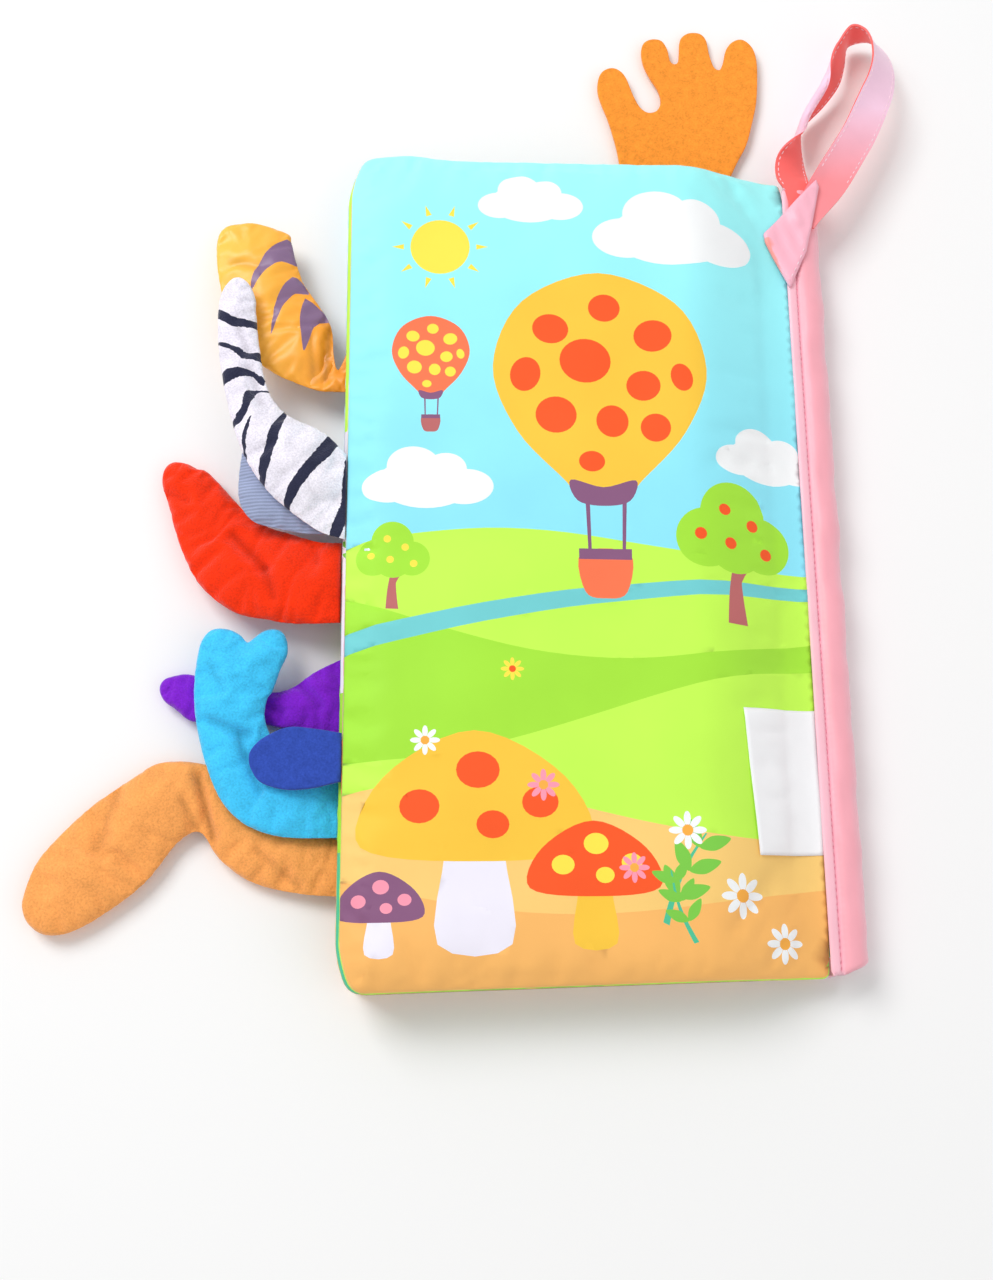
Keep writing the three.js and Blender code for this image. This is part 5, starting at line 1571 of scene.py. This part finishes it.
def tape_surface():
    """The outer face of the tape in millimetres, with a row round it for each place along it."""
    x = tape_low[0] + TAPE_LINE[:, 0] * TAPE_WIDE
    z = TAPE_LINE[:, 1] * TAPE_TALL
    turn = np.gradient(np.stack([x, z], axis=1), axis=0)
    out = np.stack([-turn[:, 1], turn[:, 0]], axis=1) / np.linalg.norm(turn, axis=1)[:, None]
    count = int((tape_high - tape_low)[1] / TAPE_STEP)
    dice = np.random.RandomState(6)
    waves = [(dice.uniform(*WAVE_RUN), dice.uniform(0, FULL_TURN), dice.uniform(-0.8, 0.8))
             for _ in range(WAVE_COUNT)]
    groove = np.exp(-((TAPE_LINE[:, 0] - GROOVE_AT) / GROOVE_WIDE) ** 2)
    bulge = np.clip((TAPE_LINE[:, 0] - WAVE_FROM) / WAVE_FULL, 0, 1)
    bulge *= np.clip(TAPE_LINE[:, 1] * 4, 0, 1)
    foot = tape_low[1] + TAPE_SLANT * np.clip(x - tape_low[0] - FLANGE_WIDTH, 0, None)
    rows = []
    for i in range(count):
        y = foot + (tape_high[1] - foot) * i / (count - 1)
        swell = sum(np.sin(FULL_TURN * (y + lean * x * 3) / wave + phase)
                    for wave, phase, lean in waves) / WAVE_COUNT
        pull = GROOVE_PULL * np.sin(FULL_TURN * y / STITCH_PITCH) * groove
        pull += WAVE_RISE * swell * bulge
        lift = pull - HEM_DROP * (1 - dome(min(i, count - 1 - i) * TAPE_STEP / HEM_RUN))
        rows.append(np.stack([x + out[:, 0] * lift, y, z + out[:, 1] * lift], axis=1))
    return np.array(rows)


tape_grid = tape_surface()
tape = grid_piece("spine_tape", tape_grid)
pale, deep = np.array(colour_of("FFC2D0")), np.array(colour_of("FFAFBC"))
# The deeper band starts and ends at a share of the tape's width, and fades over another.
(BAND_START, BAND_RISE), (BAND_END, BAND_FALL) = (0.23, 0.08), (1.08, 0.4)
mix = np.clip((TAPE_LINE[:, 0] - BAND_START) / BAND_RISE, 0, 1)
mix *= np.clip((BAND_END - TAPE_LINE[:, 0]) / BAND_FALL, 0, 1)
paint(tape, np.tile(pale + (deep - pale) * mix[:, None], (len(tape_grid), 1)), "POINT")
thicken(tape, TAPE_THICK)
satin = finish_of("pink_satin", 0.42, 0.25, 0.5, 0.012, 0.03, 11, weave=0.25, gloss=0.45,
                  tint=(1, 0.93, 0.97))
fit_out(tape, satin, "binding_tape", "spine_and_front_cover")

# %% Sewn edges inside the tape
EDGE_GAP = 0.2
# How far the edges end from the spine's foot and head and inside the tape, and how unevenly.
EDGE_FOOT, EDGE_HEAD, EDGE_INSET, EDGE_RAG = 5.0, 0.5, 0.3, 0.5
EDGE_ROW = 1.5
EDGE_ROUND = 3.6
EDGE_WAVE, EDGE_WAVE_RUN, EDGE_CLEAR = 0.12, 3.1, 0.03
EDGE_INKS = ("FFE3B0", "BFE8FF", "FFD9E4", "DDF5B0", "CFF3FF")
edge_low, edge_high = box_mm("spine_seam_edges")
layer_tall = (edge_high - edge_low)[2] / LEAF_COUNT
for level, leaf in enumerate(LEAVES):
    z_low = edge_low[2] + level * layer_tall + EDGE_GAP / 2
    z_high = z_low + layer_tall - EDGE_GAP
    # The outer layers are shorter, because the tape turns round them.
    nearest = min(z_low - edge_low[2], edge_high[2] - z_high)
    trimmed = EDGE_ROUND - math.sqrt(max(EDGE_ROUND ** 2 - max(EDGE_ROUND - nearest, 0) ** 2, 0))
    dice = np.random.RandomState(30 + level)
    ys = np.arange(edge_low[1] + EDGE_FOOT, edge_high[1] - EDGE_HEAD, EDGE_ROW)
    ragged = edge_high[0] - trimmed - EDGE_INSET - dice.uniform(0, EDGE_RAG, len(ys))
    grid = np.array([[(edge_low[0] + (far - edge_low[0]) * u, y,
                       z_low + EDGE_WAVE * math.sin(y / EDGE_WAVE_RUN + 5 * u))
                      for u in np.linspace(0, 1, 7)] for y, far in zip(ys, ragged)])
    edge = grid_piece(f"{leaf}_sewn_edge", grid)
    thicken(edge, z_high - z_low - EDGE_WAVE - EDGE_CLEAR, 1.0)
    edge_look = finish_of(f"{leaf}_edge_cloth", 0.8, 0.1, 0.5, 0.02, 0.04, 5, EDGE_INKS[level],
                          weave=0.28)
    fit_out(edge, edge_look, "spine_seam_edges", "spine_and_front_cover")
print("a sewn edge is", round(float(layer_tall - EDGE_GAP), 2), "mm high")

# %% [markdown]
# ## The hanging strap
#
# The ribbon is a flat band with a pale outside and a coral inside, and it hangs like a ring cut
# from a cone: its right leg shows the outside, it stands on edge at the far end, and its left leg
# leans over so that the inside shows. One centre line and one lean angle per place give the whole
# band.

# %% Ribbon loop
RIBBON_THICK = 0.6
RIBBON_CUP = 0.35
# Shares of the loop's box across and along, height in millimetres, lean in degrees, share of the
# full width, and how far the outer edge curls over. Rows whose second number is negative are sewn
# down.
RIBBON_LINE = [
    (0.15, -0.25, 12.7, 0, 0.5, 0), (0.215, -0.15, 13.2, 3, 0.82, 0), (0.369, 0.0, 13.2, 8, 1, 0),
    (0.548, 0.19, 13.1, 12, 1, 0), (0.645, 0.3, 13.2, 16, 1, 0), (0.765, 0.47, 13.4, 22, 1, 0),
    (0.845, 0.595, 13.0, 30, 1, 0), (0.885, 0.72, 12.0, 40, 1, 0), (0.87, 0.84, 10.6, 52, 1, 0),
    (0.79, 0.93, 9.2, 66, 1, 0), (0.66, 0.94, 7.8, 94, 1, 0), (0.585, 0.83, 7.2, 116, 1, 0),
    (0.5, 0.72, 7.0, 128, 1, 0.3), (0.385, 0.6, 6.8, 120, 1, 0.9), (0.24, 0.46, 6.8, 104, 1, 1),
    (0.19, 0.37, 6.8, 110, 1, 0.8), (0.158, 0.28, 6.8, 124, 1, 0.4),
    (0.108, 0.157, 7.4, 156, 1, 0), (0.098, 0.075, 8.6, 170, 0.93, 0),
    (0.105, 0.0, 10.8, 177, 0.75, 0), (0.108, -0.09, 12.3, 180, 0.58, 0),
    (0.105, -0.16, 12.5, 180, 0.52, 0), (0.105, -0.23, 12.5, 180, 0.5, 0),
]
CURL_FROM, CURL_TURN = 0.25, math.radians(210)
RIBBON_WAVE = 0.12
RIBBON_ACROSS = 13
RIBBON_STEPS = 8
# The ribbon turns from the deeper pink to the pale one over this length up from the spine.
RIBBON_FADE = 26.0
SHARP_EDGE = math.radians(50)
loop_low, loop_high = box_mm("strap_loop")
RIBBON_WIDE = (tape_high - tape_low)[0]


def ribbon_grid():
    """The whole ribbon in millimetres, with a row of points across it for each place along it."""
    line = smooth_path(RIBBON_LINE, RIBBON_STEPS)
    at = np.column_stack([loop_low[:2] + line[:, :2] * (loop_high - loop_low)[:2], line[:, 2]])
    along = np.gradient(at, axis=0)
    along /= np.linalg.norm(along, axis=1)[:, None]
    inner = np.cross(np.array([0, 0, 1.0]), along)
    inner /= np.linalg.norm(inner, axis=1)[:, None]
    above = np.cross(along, inner)
    lean = np.radians(line[:, 3])[:, None]
    wide = inner * np.cos(lean) + above * np.sin(lean)
    face = np.cross(along, wide)
    half = line[:, 4] * RIBBON_WIDE / 2
    turn = np.clip(line[:, 5], 0.001, 1) * CURL_TURN
    rows = []
    for u in np.linspace(-1, 1, RIBBON_ACROSS):
        past = np.maximum(u - CURL_FROM, 0) * half
        radius = (1 - CURL_FROM) * half / turn
        out = np.minimum(u, CURL_FROM) * half + radius * np.sin(past / radius)
        rise = -radius * (1 - np.cos(past / radius))
        rise += RIBBON_CUP * (u * u - 0.4) + RIBBON_WAVE * np.sin(np.arange(len(at)) / 4.0 + 2 * u)
        rows.append(at + wide * out[:, None] + face * rise[:, None])
    return np.stack(rows, axis=1)


def ribbon_faces(grid):
    """The direction each place of a ribbon faces."""
    out = np.cross(np.gradient(grid, axis=0), np.gradient(grid, axis=1))
    return out / np.linalg.norm(out, axis=2)[:, :, None]


def ribbon_piece(name, grid, body, node=None):
    """A part of the two-coloured ribbon, with its real thickness."""
    made = grid_piece(name, grid)
    deep, pale = np.array(colour_of("FF9198")), np.array(colour_of("FFD2EA"))
    up = np.clip((grid.reshape(-1, 3)[:, 1] - loop_low[1]) / RIBBON_FADE, 0, 1)[:, None]
    paint(made, deep + (pale - deep) * up, "POINT")
    for look in (ribbon_in, ribbon_out):
        made.data.materials.append(look)
    thicken(made, RIBBON_THICK, 0.0, 1)
    made.data.set_sharp_from_angle(angle=SHARP_EDGE)
    fit_out(made, None, node, body)


ribbon_out = finish_of("ribbon_outside", 0.42, 0.25, 0.5, 0.012, 0.04, 8, weave=0.25, gloss=0.45)
ribbon_in = finish_of("ribbon_inside", 0.5, 0.2, 0.5, 0.012, 0.06, 8, "FF6A66", weave=0.25,
                      gloss=0.4)
whole_ribbon = ribbon_grid()
first, last = (k * RIBBON_STEPS for k, row in enumerate(RIBBON_LINE) if row[1] == 0)
loop_grid = whole_ribbon[first:last + 1]
ribbon_piece("hanging_ribbon", loop_grid, "strap_loop", "strap_loop")
ribbon_piece("sewn_end_upper", whole_ribbon[:first + 1], "spine_and_front_cover")
ribbon_piece("sewn_end_lower", whole_ribbon[last:], "spine_and_front_cover")

# %% The fold that is sewn on the spine
# The folded end as shares of the tape's width across and of the fold's length up the spine.
FOLD_RING = [
    (0.0, 0.0), (-0.62, 0.42), (-0.66, 0.5), (0.0, 0.72), (0.86, 1.0), (0.93, 0.93), (0.7, 0.6),
    (0.5, 0.34), (0.35, 0.24),
]
# Each corner is rounded over this share of its sides.
FOLD_CORNER = 0.08
FOLD_RINGS, FOLD_STEP = (0.15, 0.45, 0.9), 1.1
# It is rounded over its edge, from a share of that edge inwards.
FOLD_THICK, FOLD_EDGE, FOLD_RIM, FOLD_WAVE = 1.3, 0.8, 0.15, 0.18
# The fold clears the tape and the cover, and it clears the ribbon within a reach of its points.
FOLD_CLEAR, RIBBON_CLEAR, RIBBON_REACH = 0.25, 0.15, 1.2
DRAPE_REACH, DRAPE_ROUNDS = 1.5, 3

fold_low, fold_high = box_mm("strap_base_fold")
FOLD_LONG = (fold_high - fold_low)[1]
corners = np.array(FOLD_RING)
ring = []
for k, here in enumerate(corners):
    back, ahead = corners[k - 1] - here, corners[(k + 1) % len(corners)] - here
    ring += rounded(here + back * FOLD_CORNER, here, here + ahead * FOLD_CORNER, 3)
    ring += [here + ahead * t for t in np.linspace(FOLD_CORNER, 1 - FOLD_CORNER, 9)[1:-1]]
ring = counter_clockwise(np.array(ring) * (RIBBON_WIDE, FOLD_LONG) + (tape_low[0], fold_low[1]))
shut = open_sides(ring)
flat, tris, tops = cut_sheet(ring, field_points(ring, shut, FOLD_RINGS, FOLD_STEP))
rim = seam_distance(flat, ring, shut)[0]

# What lies under the fold: the cover up to the hinge line, then the tape, and the ribbon's ends.
section = TAPE_LINE[:TAPE_TOP]
tape_height = np.interp(flat[:, 0], tape_low[0] + section[:, 0] * TAPE_WIDE,
                        section[:, 1] * TAPE_TALL)
cover_height = leaf_height(np.column_stack([np.minimum(flat[:, 0], HINGE_X - 1), flat[:, 1]]),
                           LEAF_COUNT - 1, True, *leaf_outlines["back_cover"])
under = np.where(flat[:, 0] < HINGE_X, np.maximum(cover_height, TAPE_TALL), tape_height)
under += FOLD_CLEAR
ends = whole_ribbon.reshape(-1, 3)
ends = ends[ends[:, 1] < fold_high[1] + 3]
over = np.linalg.norm(flat[:, None] - ends[None, :, :2], axis=2) < RIBBON_REACH
raised = np.where(over, ends[None, :, 2] + RIBBON_THICK / 2 + RIBBON_CLEAR, 0).max(axis=1)
under = np.maximum(under, raised)
near = np.exp(-(np.linalg.norm(flat[:, None] - flat[None], axis=2) / DRAPE_REACH) ** 2)
for _ in range(DRAPE_ROUNDS):
    under = np.maximum(under, (near @ under) / near.sum(axis=1))
fold_thick = FOLD_THICK * dome(np.maximum(rim / FOLD_EDGE, FOLD_RIM))
wave = FOLD_WAVE * np.sin(flat[:, 0] * 1.3 + flat[:, 1] * 0.5) * (rim > FOLD_EDGE)


# The deeper corner's slanting side goes through this point, and it ends at this height.
CORNER_POINT, CORNER_SLANT, CORNER_TOP = (-5.6, 15), 0.33, 16


def fold_colours(places):
    """The pale outside of the ribbon, and its deeper pink in the lower left corner."""
    x, y = places[:, 0] - tape_low[0], places[:, 1] - fold_low[1]
    pale = (x > CORNER_POINT[0] + (CORNER_POINT[1] - y) * CORNER_SLANT) | (y > CORNER_TOP)
    return np.where(pale[:, None], colour_of("FFB9CB"), colour_of("FF9A92"))


fold = closed_piece("sewn_fold", flat, tris, tops, under + fold_thick + wave, under, fold_colours)
fit_out(fold, satin, "strap_base_fold")
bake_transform(fold)
print("the fold rises to", round(float((under + fold_thick).max()), 1), "mm")

# %% [markdown]
# ## Stitches
#
# A row of stitches is one short thread laid again and again along a line, a little sunk at each
# end. A node tree does it: it cuts a line into equal lengths, puts a thread on each and turns it
# along the line. Its spacing, length and thickness are inputs.

# %% A node tree for stitches
STITCH_LONG = 1.3
THREADS = (("sewing_thread", "F08FA8"), ("ribbon_thread", "FFDCE6"))
thread_look, pale_thread = (finish_of(name, 0.55, 0.2, 0.15, 0.02, 0.03, 2, colour, gloss=0.4)
                            for name, colour in THREADS)


def stitch_tree():
    """The nodes that lay a row of threads along a line."""
    tree = bpy.data.node_groups.new("stitch_row", "GeometryNodeTree")
    sides = tree.interface
    sides.new_socket("Line", in_out="INPUT", socket_type="NodeSocketGeometry")
    for label_text in ("Spacing", "Length", "Thickness"):
        sides.new_socket(label_text, in_out="INPUT", socket_type="NodeSocketFloat")
    sides.new_socket("Thread", in_out="INPUT", socket_type="NodeSocketMaterial")
    sides.new_socket("Stitches", in_out="OUTPUT", socket_type="NodeSocketGeometry")
    given = node_of(tree, "NodeGroupInput").outputs
    line = node_of(tree, "GeometryNodeMeshToCurve", {0: given["Line"]})
    spots = node_of(tree, "GeometryNodeCurveToPoints",
                    {"Curve": line.outputs[0], "Length": given["Spacing"]}, mode="LENGTH")
    ball = node_of(tree, "GeometryNodeMeshUVSphere", {"Segments": 8, "Rings": 6, "Radius": 1.0})
    half = maths(tree, "MULTIPLY", given["Length"], 0.5)
    size = node_of(tree, "ShaderNodeCombineXYZ",
                   {"X": given["Thickness"], "Y": given["Thickness"], "Z": half})
    laid = node_of(tree, "GeometryNodeInstanceOnPoints", {"Points": spots.outputs["Points"],
                   "Instance": ball.outputs["Mesh"], "Rotation": spots.outputs["Rotation"],
                   "Scale": size.outputs[0]})
    real = node_of(tree, "GeometryNodeRealizeInstances", {0: laid.outputs[0]})
    smooth = node_of(tree, "GeometryNodeSetShadeSmooth", {0: real.outputs[0]})
    dressed = node_of(tree, "GeometryNodeSetMaterial",
                      {"Geometry": smooth.outputs[0], "Material": given["Thread"]})
    node_of(tree, "NodeGroupOutput", {"Stitches": dressed.outputs[0]})
    return tree


stitches = stitch_tree()
print("stitch nodes:", len(stitches.nodes))

# %% Rows of stitches


def stitch_row(name, line, body, thickness=0.16, thread=thread_look):
    """Stitches along a line of points in millimetres, as one mesh that rides on a body if given."""
    made = mesh_object(name, line, [], [(i, i + 1) for i in range(len(line) - 1)])
    rows = made.modifiers.new("stitches", "NODES")
    rows.node_group = stitches
    values = {"Spacing": STITCH_PITCH * MM, "Length": STITCH_LONG * MM, "Thickness": thickness * MM,
              "Thread": thread}
    for socket in stitches.interface.items_tree:
        if socket.in_out == "INPUT" and socket.name in values:
            rows[socket.identifier] = values[socket.name]
    apply_modifiers(made)
    fit_out(made, None, body=body)
    return made


# The spine's stitches lie at this share of the tape's width.
SEAM_AT = 0.205
# How far the threads of each seam stand out or are sunk in.
SPINE_PROUD, LOOP_SUNK, FOLD_PROUD = 0.03, 0.02, 0.05
# The short seam that holds the fold's edge, from end to end.
FOLD_SEAM = np.array([(65.4, 86.2), (67.4, 90.2), (69.2, 94.4)])

from_seam = np.abs(TAPE_LINE[:, 0] - SEAM_AT)
upper_row = from_seam[:TAPE_TOP].argmin()
lower_row = TAPE_TOP + 1 + from_seam[TAPE_TOP + 1:].argmin()
stitch_row("spine_stitches", tape_grid[2:-2, upper_row] + (0, 0, SPINE_PROUD),
           "spine_and_front_cover")
stitch_row("spine_stitches_under", tape_grid[2:-2, lower_row], "spine_and_front_cover")
loop_faces = ribbon_faces(loop_grid)
for edge, column in (("outer", 1), ("inner", -2)):
    for side, sign in (("pale", 1), ("coral", -1)):
        line = loop_grid[:, column] + loop_faces[:, column] * sign * (RIBBON_THICK / 2 - LOOP_SUNK)
        stitch_row(f"loop_stitches_{edge}_{side}", line[2:-2], "strap_loop", 0.15, pale_thread)
nearest = np.linalg.norm(flat[:, None] - FOLD_SEAM[None], axis=2).argmin(axis=0)
fold_line = np.column_stack([FOLD_SEAM, (under + fold_thick)[nearest] + FOLD_PROUD])
row = stitch_row("fold_stitches", fold_line, None, 0.17, pale_thread)
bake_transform(row)
